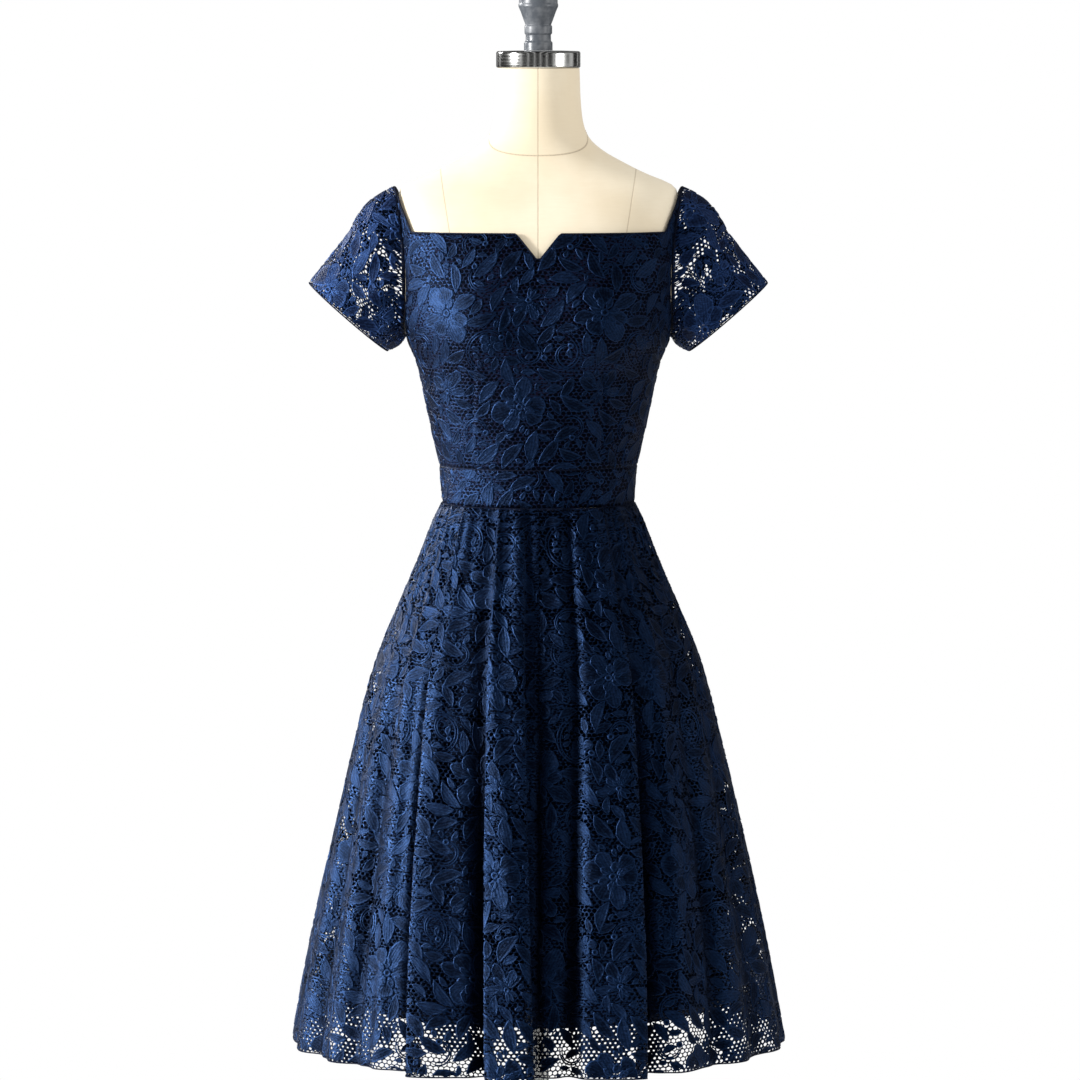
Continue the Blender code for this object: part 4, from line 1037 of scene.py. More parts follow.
class LaceDrawing:
    # gathers raised petals, leaves and cords with their tone and grain
    def __init__(self):
        self.points, self.faces, self.tones, self.grains = [], [], [], []
        self.step = 0.0
        columns, rows = round(tileLook["width"] * 1000), round(tileLook["height"] * 1000)
        self.cellX, self.cellY = np.meshgrid((np.arange(columns) + 0.5) / 1000,
                                             (np.arange(rows) + 0.5) / 1000)
        self.taken = np.zeros(self.cellX.shape, bool)

    def local(self, x, y, turn):
        # cells of the repeat seen from one motif, the repeat's edges joined
        width, height = tileLook["width"], tileLook["height"]
        acrossTile = (self.cellX - x + width / 2) % width - width / 2
        upTile = (self.cellY - y + height / 2) % height - height / 2
        cosine, sine = math.cos(turn), math.sin(turn)
        return acrossTile * cosine + upTile * sine, upTile * cosine - acrossTile * sine

    def footprint(self, x, y, turn, length, width, pointed):
        along, across = self.local(x, y, turn)
        margin = tileLook["margin"]
        share = np.clip(along / length, 0.0, 1.0)
        half = petalHalf(share, width, pointed) + margin
        return (along > -margin) & (along < length + margin) & (np.abs(across) < half)

    def ring(self, outline, middle, x, y, turn, layers):
        # closed raised shape: layers are (scale, height, tone) from the edge inwards
        cosine, sine = math.cos(turn), math.sin(turn)
        self.step = (self.step + 0.00003) % 0.00012
        count = len(outline)
        first = len(self.points)
        for scale, height, tone in layers:
            for px, py in outline:
                qx = middle + (px - middle) * scale
                qy = py * scale
                self.points.append((x + qx * cosine - qy * sine, y + qx * sine + qy * cosine,
                                    height + self.step))
                self.tones.append(tone)
                self.grains.append((qx, qy, scale))
        for n in range(len(layers) - 1):
            for j in range(count):
                k = (j + 1) % count
                a, b = first + n * count, first + (n + 1) * count
                self.faces.append((a + j, a + k, b + k, b + j))
        last = first + (len(layers) - 1) * count
        self.points.append((x + middle * cosine, y + middle * sine, layers[-1][1] + self.step))
        self.tones.append(layers[-1][2])
        self.grains.append((middle, 0.0, 0.0))
        centre = len(self.points) - 1
        for j in range(count):
            self.faces.append((last + j, last + (j + 1) % count, centre))

    def petal(self, x, y, turn, length, width, pointed=False, gauzy=True, bend=0.0):
        lift, cord = tileLook["lift"], tileLook["cord"]
        inside = 0.10 if gauzy else 0.50
        small = length < tileLook["smallLength"]
        # the outermost ring sinks under the net with tone 0, the deep colour: a painted shadow line round
        # each petal and leaf
        layers = [(1.0, -0.0003, 0.0), (0.955, lift + cord, 1.0), (0.86, lift, 0.45), (0.52, lift, inside)]
        if small:
            layers[1:] = [(0.90, lift + cord, 0.85), (0.60, lift, 0.40)]
        outline = []
        count = tileLook["smallOutline"] if small else tileLook["outline"]
        for n in range(count):
            angle = 2 * math.pi * n / count
            share = (1.0 - math.cos(angle)) / 2
            half = petalHalf(share, width, pointed)
            if not pointed:
                half *= 1.0 + 0.12 * math.sin(4.0 * angle + x * 900.0)
            away = math.copysign(half, math.sin(angle)) if 0 < share < 1 else 0.0
            outline.append((share * length, away + bend * length * (share - 0.5) ** 2))
        self.ring(outline, length * 0.52, x, y, turn, layers)
        self.taken |= self.footprint(x, y, turn, length, width, pointed)

    def flower(self, x, y, radius, petals, degrees, spread):
        step = math.radians(spread) / petals
        wide = radius * 0.66 * step
        for k in range(petals):
            turn = math.radians(degrees) + step * k + 0.17 * math.sin(k * 3.1 + x * 300.0)
            base = radius * (0.17 + 0.07 * math.sin(k * 4.3 + x * 500.0))
            length = radius * (0.74 + 0.20 * math.sin(k * 2.4 + y * 200.0))
            self.petal(x + base * math.cos(turn), y + base * math.sin(turn), turn, length,
                       wide * (1.0 + 0.24 * math.sin(k * 1.9 + y * 90.0)), gauzy=k % 3 != 1,
                       bend=0.30 * math.sin(k * 2.9 + x * 700.0))
        for k in range(petals):
            turn = math.radians(degrees) + step * (k + 0.5)
            base = radius * 0.10
            self.petal(x + base * math.cos(turn), y + base * math.sin(turn), turn, radius * 0.40,
                       wide * 0.42, True, gauzy=False)
        self.button(x, y, radius * 0.13)
        if spread < 300.0:
            for away in (-0.5, 0.0, 0.5):
                turn = math.radians(degrees + spread / 2) + math.pi + away
                self.petal(x, y, turn, radius * 0.55, radius * 0.20, True, gauzy=False)

    def button(self, x, y, radius):
        lift, cord = tileLook["lift"], tileLook["cord"]
        turns = np.linspace(0, 2 * math.pi, 11)[:-1]
        outline = [(radius * math.cos(a), radius * math.sin(a)) for a in turns]
        layers = ((1.0, -0.0003, 0.3), (0.90, lift + cord * 1.3, 1.0), (0.55, lift + cord, 0.9),
                  (0.40, lift, 0.0))
        self.ring(outline, 0.0, x, y, 0.0, layers)
        along, across = self.local(x, y, 0.0)
        self.taken |= np.hypot(along, across) < radius + tileLook["margin"]

    def cordLine(self, path, width):
        crest = tileLook["lift"] + tileLook["cord"]
        path = np.array(path)
        heading = np.gradient(path, axis=0)
        heading /= np.linalg.norm(heading, axis=1, keepdims=True)
        side = np.stack((-heading[:, 1], heading[:, 0]), axis=1)
        run = 0.0
        first = len(self.points)
        for n, (point, away) in enumerate(zip(path, side)):
            taper = min(1.0, 0.35 + 3.0 * min(n, len(path) - 1 - n) / len(path))
            for place, height, tone in ((-0.5, -0.0003, 0.35), (0.0, crest, 1.0), (0.5, -0.0003, 0.35)):
                spot = point + away * width * taper * place
                self.points.append((spot[0], spot[1], height))
                self.tones.append(tone)
                self.grains.append((run, place * width, 0.5))
            run += 0.002
        for n in range(len(path) - 1):
            a, b = first + n * 3, first + (n + 1) * 3
            for k in (0, 1):
                self.faces.append((a + k, b + k, b + k + 1, a + k + 1))

    def scroll(self, x, y, radius, first, last, space):
        turns = np.radians(np.linspace(first, last, 22))
        grow = np.linspace(1.0, 0.72, 22)
        for away in (-0.5, 0.5):
            reach = radius * grow + away * space * np.linspace(1.0, 0.55, 22)
            self.cordLine(np.stack((x + reach * np.cos(turns), y + reach * np.sin(turns)), axis=1), 0.0019)
        end = turns[-1]
        self.button(x + radius * grow[-1] * math.cos(end), y + radius * grow[-1] * math.sin(end), 0.0040)
        along, across = self.local(x, y, 0.0)
        distance = np.hypot(along, across)
        turn = (np.degrees(np.arctan2(across, along)) - first) % 360.0
        middle = radius * mix(1.0, 0.72, np.clip(turn / (last - first), 0.0, 1.0))
        self.taken |= (turn < last - first) & (np.abs(distance - middle) < space / 2 + 0.0014)

    def heading(self, x, y):
        # leaves turn round the nearest flower
        width, height = tileLook["width"], tileLook["height"]
        best = None
        for fx, fy, radius, *_ in laceFlowers:
            dx = (x - fx + width / 2) % width - width / 2
            dy = (y - fy + height / 2) % height - height / 2
            reach = math.hypot(dx, dy) - radius
            if best is None or reach < best[0]:
                best = (reach, math.atan2(dy, dx))
        return best[1]


def petalHalf(share, width, pointed):
    wave = np.sin(math.pi * np.clip(share, 0.0, 1.0))
    if pointed:
        return width / 2 * wave**0.95
    return width / 2 * wave**0.62 * (0.62 + 0.62 * share)


def laceRepeat():
    drawing = LaceDrawing()
    shuffle = random.Random(tileLook["seed"])
    for flower in laceFlowers:
        drawing.flower(*flower)
    for scroll in laceScrolls:
        drawing.scroll(*scroll)
    for length, share, tries in laceLeaves:
        for _ in range(tries):
            x = shuffle.uniform(0.0, tileLook["width"])
            y = shuffle.uniform(0.0, tileLook["height"])
            turn = drawing.heading(x, y) + math.radians(shuffle.choice((-62, -35, 20, 48, 75)))
            turn += shuffle.uniform(-0.25, 0.25)
            size = length * shuffle.uniform(0.9, 1.1)
            pointed = length > 0.013
            spot = drawing.footprint(x, y, turn, size, size * share, pointed)
            if (spot & drawing.taken).sum() <= 0.06 * spot.sum():
                drawing.petal(x, y, turn, size, size * share, pointed, shuffle.random() < 0.6,
                              shuffle.choice((-0.55, -0.3, 0.3, 0.55)) if pointed else 0.0)
    mesh = bpy.data.meshes.new("laceRepeat")
    mesh.from_pydata(drawing.points, [], drawing.faces)
    tone = mesh.attributes.new("tone", "FLOAT", "POINT")
    tone.data.foreach_set("value", np.array(drawing.tones, np.float32))
    grain = mesh.attributes.new("grain", "FLOAT_VECTOR", "POINT")
    grain.data.foreach_set("vector", np.array(drawing.grains, np.float32).reshape(-1))
    return placed("laceRepeat", mesh)


# ---- geometry node trees
def newTree(name, sockets):
    tree = bpy.data.node_groups.new(name, "GeometryNodeTree")
    tree.interface.new_socket("Geometry", in_out="INPUT", socket_type="NodeSocketGeometry")
    for label, kind in sockets:
        tree.interface.new_socket(label, in_out="INPUT", socket_type="NodeSocket" + kind)
    tree.interface.new_socket("Geometry", in_out="OUTPUT", socket_type="NodeSocketGeometry")
    nodes = Nodes(tree)
    return tree, nodes, nodes.add("NodeGroupInput").outputs


def endTree(nodes, geometry, material):
    real = nodes.add("GeometryNodeRealizeInstances", {"Geometry": geometry})
    smoothed = nodes.add("GeometryNodeSetShadeSmooth", {"Geometry": real.outputs[0]})
    coloured = nodes.add("GeometryNodeSetMaterial", {"Geometry": smoothed.outputs[0], "Material": material})
    nodes.add("NodeGroupOutput", {"Geometry": coloured.outputs[0]})


def pathOf(nodes, path, pitch):
    found = nodes.add("GeometryNodeObjectInfo", {"Object": path}, transform_space="RELATIVE")
    curve = nodes.add("GeometryNodeMeshToCurve", {"Mesh": found.outputs["Geometry"]})
    return nodes.add("GeometryNodeResampleCurve", {"Curve": curve.outputs[0], "Length": pitch},
                     mode="LENGTH")


def sampled(nodes, mesh, value, kind, chart, spot):
    # a value read from the cloth at a place on its flat chart
    sockets = {"Mesh": mesh, "Value": value, "UV Map": chart, "Sample UV": spot}
    sample = nodes.add("GeometryNodeSampleUVSurface", data_type=kind)
    for label, source in sockets.items():
        nodes.feed(sample.inputs[label], source)
    return sample.outputs


def laceLayerTree():
    sockets = (("Cloth", "Object"), ("Motif", "Object"), ("Columns", "Int"), ("Rows", "Int"),
               ("Width", "Float"), ("Height", "Float"), ("Start", "Vector"), ("Wobble", "Float"),
               ("Material", "Material"))
    tree, nodes, inputs = newTree("laceLayer", sockets)
    sizes = []
    for count, step in (("Columns", "Width"), ("Rows", "Height")):
        spaces = nodes.math("SUBTRACT", inputs[count], 1.0)
        sizes.append(nodes.math("MULTIPLY", spaces, inputs[step]))
    grid = nodes.add("GeometryNodeMeshGrid", {"Size X": sizes[0], "Size Y": sizes[1],
                                              "Vertices X": inputs["Columns"], "Vertices Y": inputs["Rows"]})
    placed = nodes.add("GeometryNodeSetPosition", {"Geometry": grid.outputs[0], "Offset": inputs["Start"]})
    motif = nodes.add("GeometryNodeObjectInfo", {"Object": inputs["Motif"], "As Instance": True})
    spread = nodes.add("GeometryNodeInstanceOnPoints", {"Points": placed.outputs[0],
                                                       "Instance": motif.outputs["Geometry"]})
    flat = nodes.add("GeometryNodeRealizeInstances", {"Geometry": spread.outputs[0]})
    cloth = nodes.add("GeometryNodeObjectInfo", {"Object": inputs["Cloth"]}, transform_space="RELATIVE")
    place = nodes.add("GeometryNodeInputPosition").outputs[0]
    drift = nodes.add("ShaderNodeTexNoise", {"Vector": place, "Scale": 9.0, "Detail": 1.0}).outputs["Color"]
    centred = nodes.vector("SUBTRACT", drift, (0.5, 0.5, 0.5))
    shift = nodes.scaled(centred, inputs["Wobble"])
    moved = nodes.vector("ADD", place, nodes.vector("MULTIPLY", shift, (8.0, 8.0, 0.0)))
    chart, faceOut, depth = [
        nodes.add("GeometryNodeInputNamedAttribute", {"Name": name}, data_type=kind).outputs[0]
        for name, kind in (("cloth", "FLOAT_VECTOR"), ("outward", "FLOAT_VECTOR"), ("hollow", "FLOAT"))]
    surface, outward, hollow = [
        sampled(nodes, cloth.outputs["Geometry"], value, kind, chart, moved)
        for value, kind in ((place, "FLOAT_VECTOR"), (faceOut, "FLOAT_VECTOR"), (depth, "FLOAT"))]
    missing = nodes.add("FunctionNodeBooleanMath", {0: surface["Is Valid"]}, operation="NOT")
    kept = nodes.add("GeometryNodeDeleteGeometry", {"Geometry": flat.outputs[0],
                                                    "Selection": missing.outputs[0]}, domain="POINT")
    # the motif keeps the cloth's hollow depth for the painted shade of its fold bottoms
    noted = nodes.add("GeometryNodeStoreNamedAttribute", {"Geometry": kept.outputs[0], "Name": "hollow",
                                                          "Value": hollow["Value"]},
                      data_type="FLOAT", domain="POINT")
    push = nodes.scaled(outward["Value"], nodes.split(place)["Z"])
    spot = nodes.vector("ADD", surface["Value"], push)
    worn = nodes.add("GeometryNodeSetPosition", {"Geometry": noted.outputs[0], "Position": spot})
    endTree(nodes, worn.outputs[0], inputs["Material"])
    return tree


def edgeRollTree():
    sockets = (("Path", "Object"), ("Radius", "Float"), ("Pitch", "Float"), ("Sides", "Int"),
               ("Material", "Material"))
    tree, nodes, inputs = newTree("edgeRoll", sockets)
    line = pathOf(nodes, inputs["Path"], inputs["Pitch"])
    circle = nodes.add("GeometryNodeCurvePrimitiveCircle", {"Radius": inputs["Radius"],
                                                            "Resolution": inputs["Sides"]}, mode="RADIUS")
    tube = nodes.add("GeometryNodeCurveToMesh", {"Curve": line.outputs[0], "Fill Caps": True,
                                                 "Profile Curve": circle.outputs[0]})
    endTree(nodes, tube.outputs[0], inputs["Material"])
    return tree


def stitchRowTree():
    # small rounded stitches or teeth along a path; Size is across, through and along
    sockets = (("Path", "Object"), ("Pitch", "Float"), ("Size", "Vector"), ("Follow", "Bool"),
               ("Material", "Material"))
    tree, nodes, inputs = newTree("stitchRow", sockets)
    line = pathOf(nodes, inputs["Path"], inputs["Pitch"])
    spots = nodes.add("GeometryNodeCurveToPoints", {"Curve": line.outputs[0]}, mode="EVALUATED")
    bead = nodes.add("GeometryNodeMeshUVSphere", {"Segments": 8, "Rings": 5, "Radius": 0.5})
    turn = nodes.add("GeometryNodeSwitch", {"Switch": inputs["Follow"]}, input_type="ROTATION")
    nodes.feed(turn.inputs["True"], spots.outputs["Rotation"])
    rows = nodes.add("GeometryNodeInstanceOnPoints", {"Points": spots.outputs["Points"],
                                                     "Instance": bead.outputs["Mesh"],
                                                     "Rotation": turn.outputs[0], "Scale": inputs["Size"]})
    endTree(nodes, rows.outputs[0], inputs["Material"])
    return tree


trees = {"lace": laceLayerTree(), "roll": edgeRollTree(), "stitch": stitchRowTree()}


def grown(name, tree, values):
    # runs a tree once and keeps its plain mesh
    host = placed(name + "Host", bpy.data.meshes.new(name + "Host"))
    modifier = host.modifiers.new("grow", "NODES")
    modifier.node_group = tree
    for socket in tree.interface.items_tree:
        if socket.in_out == "INPUT" and socket.name in values:
            modifier[socket.identifier] = values[socket.name]
    depsgraph = bpy.context.evaluated_depsgraph_get()
    made = host.evaluated_get(depsgraph)
    mesh = bpy.data.meshes.new_from_object(made, preserve_all_data_layers=True, depsgraph=depsgraph)
    mesh.name = name
    bpy.data.objects.remove(host)
    return placed(name, mesh)


def linePath(name, points, closed=False):
    count = len(points)
    edges = [(n, (n + 1) % count) for n in range(count if closed else count - 1)]
    mesh = bpy.data.meshes.new(name)
    mesh.from_pydata([tuple(map(float, point)) for point in points], edges, [])
    return placed(name, mesh)


helpers = []


def edgeRoll(name, points, radius, material, closed, sides):
    helpers.append(linePath(name + "Path", points, closed))
    return grown(name, trees["roll"], {"Path": helpers[-1], "Radius": radius, "Pitch": 0.003, "Sides": sides,
                                       "Material": material})


def stitches(name, points, pitch, size, material, follow=True, closed=False):
    helpers.append(linePath(name + "Path", points, closed))
    return grown(name, trees["stitch"], {"Path": helpers[-1], "Pitch": pitch, "Size": size, "Follow": follow,
                                         "Material": material})


def laceLayer(name, cloth, chart, start, look):
    # chart holds the flat places of the cloth's corners
    low, high = chart.reshape(-1, 2).min(axis=0), chart.reshape(-1, 2).max(axis=0)
    width, height = tileLook["width"], tileLook["height"]
    columns = math.ceil((high[0] - low[0]) / width) + 2
    rows = math.ceil((high[1] - low[1]) / height) + 2
    corner = (low[0] - width + start[0] * width, low[1] - height + start[1] * height)
    middle = (corner[0] + (columns - 1) * width / 2, corner[1] + (rows - 1) * height / 2, 0.0)
    values = {"Cloth": cloth, "Motif": repeat, "Columns": columns, "Rows": rows, "Width": width,
              "Height": height, "Start": middle, "Wobble": tileLook["wobble"], "Material": look}
    return grown(name, trees["lace"], values)


repeat = laceRepeat()
print("node trees ready")


# ---- cloth pieces
# where the repeat starts on each piece, in shares of it
laceStarts = {
    "bodiceFront": (0.30, 0.40), "bodiceBackLeft": (0.10, 0.55), "bodiceBackRight": (0.60, 0.20),
    "waistbandFront": (0.75, 0.15), "waistbandBackLeft": (0.20, 0.70), "waistbandBackRight": (0.45, 0.35),
    "sleeveLeft": (0.15, 0.80), "sleeveRight": (0.55, 0.30), "skirtFront": (0.05, 0.25),
    "skirtBackLeft": (0.50, 0.60), "skirtBackRight": (0.80, 0.05),
}
clothNames = tuple(laceStarts) + ("liningFront", "liningBackLeft", "liningBackRight")
# cloth, wall, slot, and the node that each family of pieces rests on
families = {
    "bodice": ("mounted", bodiceLook["wall"], "mounted_lace", "form_torso"),
    "waistband": ("mounted", bodiceLook["wall"], "mounted_lace", "form_torso"),
    "sleeve": ("sleeveNetPaintedLight", sleeveLook["wall"], "lace", "bodice_front"),
    "skirt": ("net", skirtLook["wall"], "lace", "waistband_front"),
    "lining": ("lining", skirtLook["wall"], "lining", "waistband_front"),
}
pieces, motifs = {}, {}


def familyOf(name):
    return next(family for family in families if name.startswith(family))


for name in clothNames:
    points = grids[name]
    closed = name.startswith("sleeve")
    if closed:
        cloths[name] = sleeveCloth(points)
    elif name not in cloths:
        cloths[name] = levelCloth(points, points.shape[1] // 2)
    look, wall, _, _ = families[familyOf(name)]
    item = gridMesh(name, points, cloths[name], materials[look], closed, hollows.get(name))
    if name in laceStarts:
        chart = np.concatenate(cloths[name]) if isinstance(cloths[name], tuple) else cloths[name]
        figure = materials["sleeveMotifPaintedLight" if closed else "motif"]
        motifs[name] = laceLayer(name + "Lace", item, chart, laceStarts[name], figure)
    thicken(item, wall)
    pieces[name] = item
print("cloth made")


# ---- bound edges and seams
edgeLook = {"seam": 0.00165, "seamInset": 0.0018, "backInset": 0.0021, "stitchPitch": 0.0040,
            "stitch": (0.0007, 0.0005, 0.0026)}
# family of pieces, name of the edge, row of the grid, depth under the face, radius, sides
edgeRows = (
    ("bodice", "NeckEdge", 0, bodiceLook["wall"] / 2, 0.00115, 8),
    ("skirt", "HemEdge", -1, skirtLook["wall"] / 2, 0.00085, 6),
    ("skirt", "WaistSeam", 0, edgeLook["seamInset"], edgeLook["seam"], 6),
    ("waistband", "TopSeam", 0, edgeLook["seamInset"], edgeLook["seam"], 6),
    ("sleeve", "CuffEdge", -1, sleeveLook["wall"] / 2, 0.00085, 6),
    ("sleeve", "ArmholeSeam", 0, 0.0019, 0.0021, 8),
    ("lining", "HemRoll", -1, 0.0004, 0.0008, 6),
)
# end of the piece's name, name of the seam, column of the grid, depth under the face
seamColumns = (
    ("Front", "RightSeam", 0, edgeLook["seamInset"]),
    ("Front", "LeftSeam", -1, edgeLook["seamInset"]),
    ("BackLeft", "BackSeam", 0, edgeLook["backInset"]),
)
edges = {name: [] for name in clothNames}
for name in clothNames:
    grid, family = grids[name], familyOf(name)
    closed = family == "sleeve"
    outward = gridNormals(grid, closed)
    look = materials["lining" if family == "lining" else "binding"]
    for owner, label, row, depth, radius, sides in edgeRows:
        if owner == family:
            line = grid[row] - outward[row] * depth
            edges[name].append(edgeRoll(name + label, line, radius, look, closed, sides))
    if family == "lining":
        line = grid[-3] + outward[-3] * 0.0001
        edges[name].append(stitches(name + "HemStitches", line, edgeLook["stitchPitch"],
                                    edgeLook["stitch"], materials["stitch"]))
        continue
    for ending, label, column, depth in seamColumns:
        if name.endswith(ending):
            line = grid[:, column] - outward[:, column] * depth
            if name == "bodiceFront":
                line = line[line[:, 2] < sleeveLook["underarm"]]
            edges[name].append(edgeRoll(name + label, line, edgeLook["seam"], look, False, 6))


# ---- zip
zipLook = {"top": 1.322, "foot": 0.905, "half": 0.011, "inset": 0.0026, "wall": 0.0008, "pitch": 0.0016,
           "tooth": (0.0032, 0.0009, 0.0012), "coilInset": 0.0022, "coilEnds": (0.0020, 0.0030)}


def backSurface(height, x, inset):
    height, x = np.broadcast_arrays(np.asarray(height, float), np.asarray(x, float))
    depth = np.zeros(height.shape)
    for stack, rows in ((bodiceStack, height > waist), (skirtStack, height <= waist)):
        power = stack.column("squareness", height)
        share = np.abs(x) / stack.column("side", height)
        reach = stack.column("back", height) * (1.0 - share**power) ** (1.0 / power)
        depth = np.where(rows, reach, depth)
    return np.stack((x, depth - inset, height), axis=-1)


zipHeights = np.linspace(zipLook["top"], zipLook["foot"], 110)[:, None]
zipPlaces = np.linspace(zipLook["half"], -zipLook["half"], 13)[None, :]
tapePoints = backSurface(zipHeights, zipPlaces, zipLook["inset"])
tape = gridMesh("zipTape", tapePoints, levelCloth(tapePoints, 6), materials["tape"])
thicken(tape, zipLook["wall"])
coilTop, coilFoot = zipLook["top"] - zipLook["coilEnds"][0], zipLook["foot"] + zipLook["coilEnds"][1]
coilPath = backSurface(np.linspace(coilTop, coilFoot, 220), 0.0, zipLook["coilInset"])
coil = stitches("zipCoil", coilPath, zipLook["pitch"], zipLook["tooth"], materials["zipMetal"], follow=False)
print("edges, seams and zip made")


# ---- dress form and its stand
formLook = {"rows": 124, "columns": 136, "foot": 0.7600, "top": 1.5347, "stitchPlaces": 120,
            "stitchPitch": 0.0046, "stitch": (0.0009, 0.0006, 0.0030), "stitchLift": 1.001}
formShare = np.linspace(0.0, 1.0, formLook["rows"])[:, None]
formHeights = mix(formLook["top"], formLook["foot"], formShare**1.35)
formDegrees = np.linspace(0.0, 360.0, formLook["columns"], endpoint=False)[None, :]
torsoPoints = addBust(formStack.points(formHeights, formDegrees), formDegrees)
torso = ringSolid("formTorso", torsoPoints.tolist(), materials["canvas"], 50.0)

neckTurns = np.linspace(0.0, 360.0, formLook["stitchPlaces"], endpoint=False)
neckLine = formStack.points(np.full(formLook["stitchPlaces"], seamLook["neck"]), neckTurns)
for _ in range(6):
    heights = seamLook["neck"] + seamLook["neckSlope"] * neckLine[:, 1]
    neckLine = formStack.points(heights, neckTurns)
neckLine = neckLine * np.array((formLook["stitchLift"], formLook["stitchLift"], 1.0))
neckStitches = stitches("formNeckStitches", neckLine, formLook["stitchPitch"], formLook["stitch"],
                        materials["creamThread"], closed=True)

capProfile = ((0.0478, 1.5350), (0.0496, 1.5362), (0.0496, 1.5530), (0.0482, 1.5546), (0.0300, 1.5552))
finialProfile = (
    (0.0168, 1.5555), (0.0168, 1.5650), (0.0150, 1.5664), (0.0148, 1.5740),
    (0.0163, 1.5752), (0.0163, 1.5840), (0.0150, 1.5852), (0.0172, 1.5910),
    (0.0208, 1.6010), (0.0225, 1.6050), (0.0234, 1.6068), (0.0234, 1.6090),
    (0.0228, 1.6110), (0.0226, 1.6240), (0.0190, 1.6300), (0.0110, 1.6340),
    (0.0110, 1.6370), (0.0170, 1.6440), (0.0195, 1.6540), (0.0170, 1.6650),
    (0.0090, 1.6725),
)
collarProfile = ((0.0210, 0.7300), (0.0225, 0.7315), (0.0225, 0.7490), (0.0330, 0.7550), (0.0330, 0.7597))
baseProfile = (
    (0.1880, 0.0000), (0.1900, 0.0020), (0.1900, 0.0140), (0.1860, 0.0180),
    (0.1200, 0.0230), (0.0500, 0.0290), (0.0240, 0.0400), (0.0220, 0.0480),
)
poleProfile = ((0.0125, 0.0483), (0.0125, 0.7297))
# node, piece, profile, rounding of its corners, material, slot, sides
standParts = (
    ("form_neck_cap", "neckCap", capProfile, 0.0009, "steel", "polished_steel", 96),
    ("form_finial", "finial", finialProfile, 0.0016, "grey", "grey_paint", 96),
    ("form_collar", "collar", collarProfile, 0.0008, "steel", "polished_steel", 96),
    ("form_pole", "pole", poleProfile, 0.0008, "steel", "polished_steel", 64),
    ("form_base", "base", baseProfile, 0.0030, "basePaint", "painted_steel", 96),
)
print("form made")


# ---- bodies: each piece joins the dress body in place of its CAD node
def declare(item, node=None):
    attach(item, dressBody)
    if node:
        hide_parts(node)


def nodeName(name):
    return "".join("_" + letter.lower() if letter.isupper() else letter for letter in name)


for node, name, profile, rounding, look, slotName, sides in standParts:
    declare(turnedPiece(name, roundedProfile(profile, rounding), materials[look], sides), node)
declare(torso, "form_torso")
declare(neckStitches)
declare(tape, "zip_tape")
declare(coil)

for name in clothNames:
    riders = edges[name] + [motifs[name]] if name in motifs else edges[name]
    for rider in riders:
        declare(rider)
    declare(pieces[name], nodeName(name))
for node in ("zip_slider", "zip_pull"):
    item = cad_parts[node]
    item.data.materials.clear()
    item.data.materials.append(materials["zipMetal"])
for item in helpers + [repeat]:
    bpy.data.objects.remove(item)


# ---- camera, light and floor
stageLook = {
    "camera": (0.0020, -6.0, 1.58), "aim": (0.0020, 0.0, 0.9765), "lens": 169.2,
    "key": (-5.0, -1.2, 1.9), "keySize": 1.0, "keyPower": 790.0,
    "formKey": (-5.0, -1.8, 2.2), "formKeySize": 1.0, "formKeyPower": 400.0,
    "fill": (4.8, -2.6, 1.5), "fillSize": 2.4, "fillPower": 56.0,
    "rim": (-4.0, 3.4, 2.8), "rimSize": 1.6, "rimPower": 120.0,
    "lightAim": (0.0, 0.0, 0.95), "ambient": 0.80,
    "floorRadius": 1.25, "floorDepth": 0.010, "floorGap": 0.0002,
}


def aimed(name, data, spot, aim):
    item = placed(name, data)
    item.location = spot
    item.rotation_euler = (Vector(aim) - Vector(spot)).to_track_quat("-Z", "Y").to_euler()
    return item


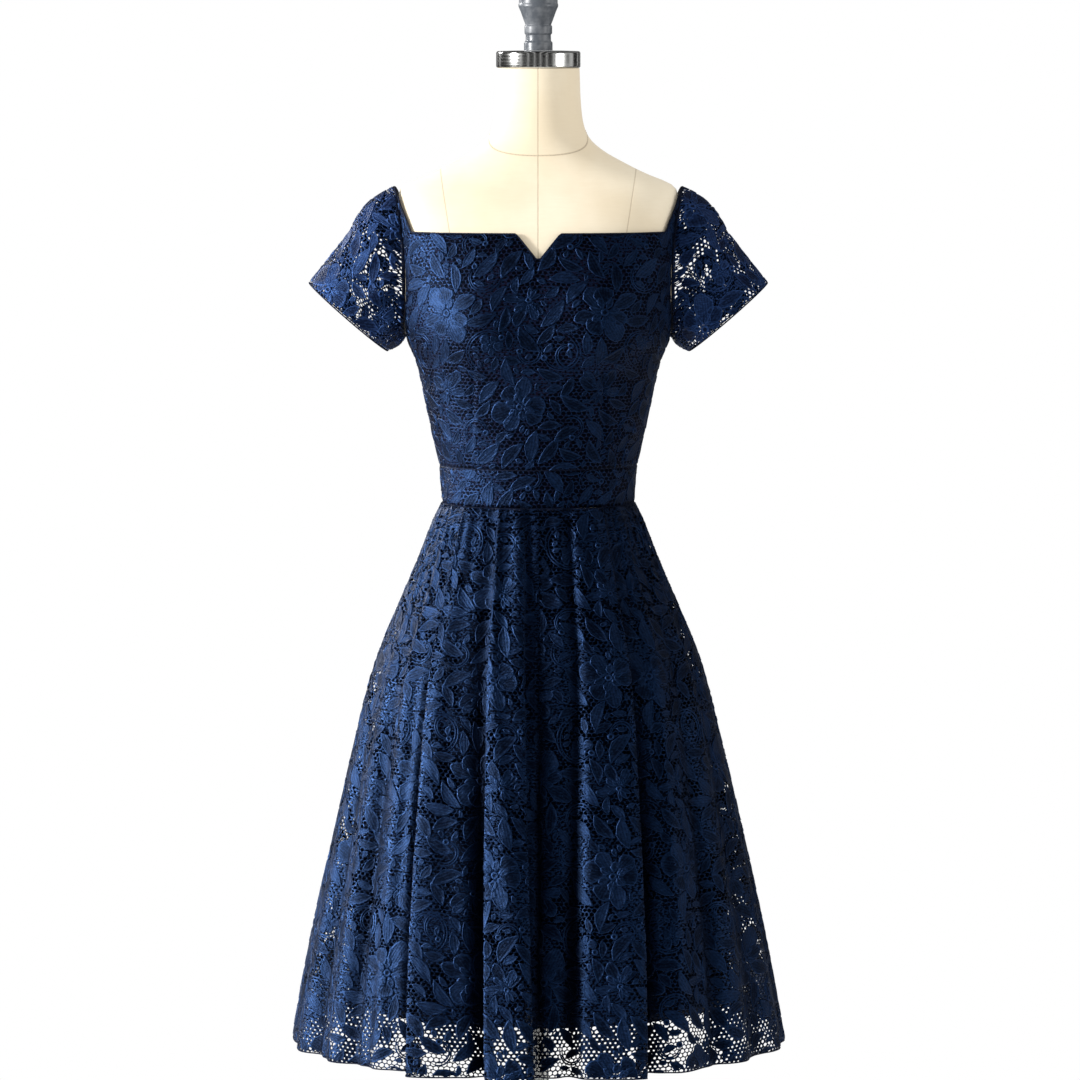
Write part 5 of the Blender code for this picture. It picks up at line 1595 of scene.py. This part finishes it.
lens = bpy.data.cameras.new("camera")
lens.lens = stageLook["lens"]
lens.sensor_width = 36.0
bpy.context.scene.camera = aimed("camera", lens, stageLook["camera"], stageLook["aim"])
for label in ("key", "formKey", "fill", "rim"):
    lamp = bpy.data.lights.new(label, "AREA")
    lamp.shape = "DISK"
    lamp.size = stageLook[label + "Size"]
    lamp.energy = stageLook[label + "Power"]
    aimed(label, lamp, stageLook[label], stageLook["lightAim"])

world = bpy.data.worlds.new("whiteStudio")
bpy.context.scene.world = world
world.use_nodes = True
sky = Nodes(world.node_tree)
background = world.node_tree.nodes["Background"]
rays = sky.add("ShaderNodeLightPath").outputs
around = sky.add("ShaderNodeTexCoord").outputs["Generated"]
bands = sky.add("ShaderNodeTexWave", {"Vector": around, "Scale": 1.1, "Distortion": 0.6,
                                      "Phase Offset": 0.8}, bands_direction="X")
sky.feed(background.inputs["Color"], rgb(1.0, 1.0, 1.0))
ambient = sky.range(rays["Is Camera Ray"], 0.0, 1.0, stageLook["ambient"], 1.0, "LINEAR")
mirrored = sky.range(bands.outputs["Fac"], 0.80, 0.96, 0.02, 0.60)
lit = sky.add("ShaderNodeMix", {"Factor": rays["Is Glossy Ray"], "A": ambient, "B": mirrored})
sky.feed(background.inputs["Strength"], lit.outputs["Result"])
bpy.context.scene.view_settings.view_transform = "Standard"

floorMaterial, floorNodes = newMaterial("paleFloor", roughness=0.8, shine=0.2)
floorGrain = floorNodes.noise(floorNodes.solidPlace(), 4.0)
floorNodes.finish(colour=floorNodes.blend(floorGrain, rgb(0.88, 0.88, 0.87), rgb(0.92, 0.92, 0.91)))
floorMiddle = -stageLook["floorDepth"] / 2 - stageLook["floorGap"]
bpy.ops.mesh.primitive_cylinder_add(vertices=96, radius=stageLook["floorRadius"],
                                    depth=stageLook["floorDepth"], location=(0.0, 0.0, floorMiddle))
floor = bpy.context.object
floor.name = "studioFloor"
floor.data.transform(floor.matrix_world)
floor.matrix_world = Matrix.Identity(4)
floor.data.materials.append(floorMaterial)
floor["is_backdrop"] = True

# the dark cloth and the pale form each have their own main light
clothStarts = tuple(families) + ("zip",)
for label in ("key", "formKey"):
    receivers = bpy.data.collections.new(label + "Receivers")
    bpy.data.objects[label].light_linking.receiver_collection = receivers
    for item in [floor] + list(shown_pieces()):
        if item.name.startswith(clothStarts) == (label == "key"):
            receivers.objects.link(item)


bpy.context.view_layer.update()
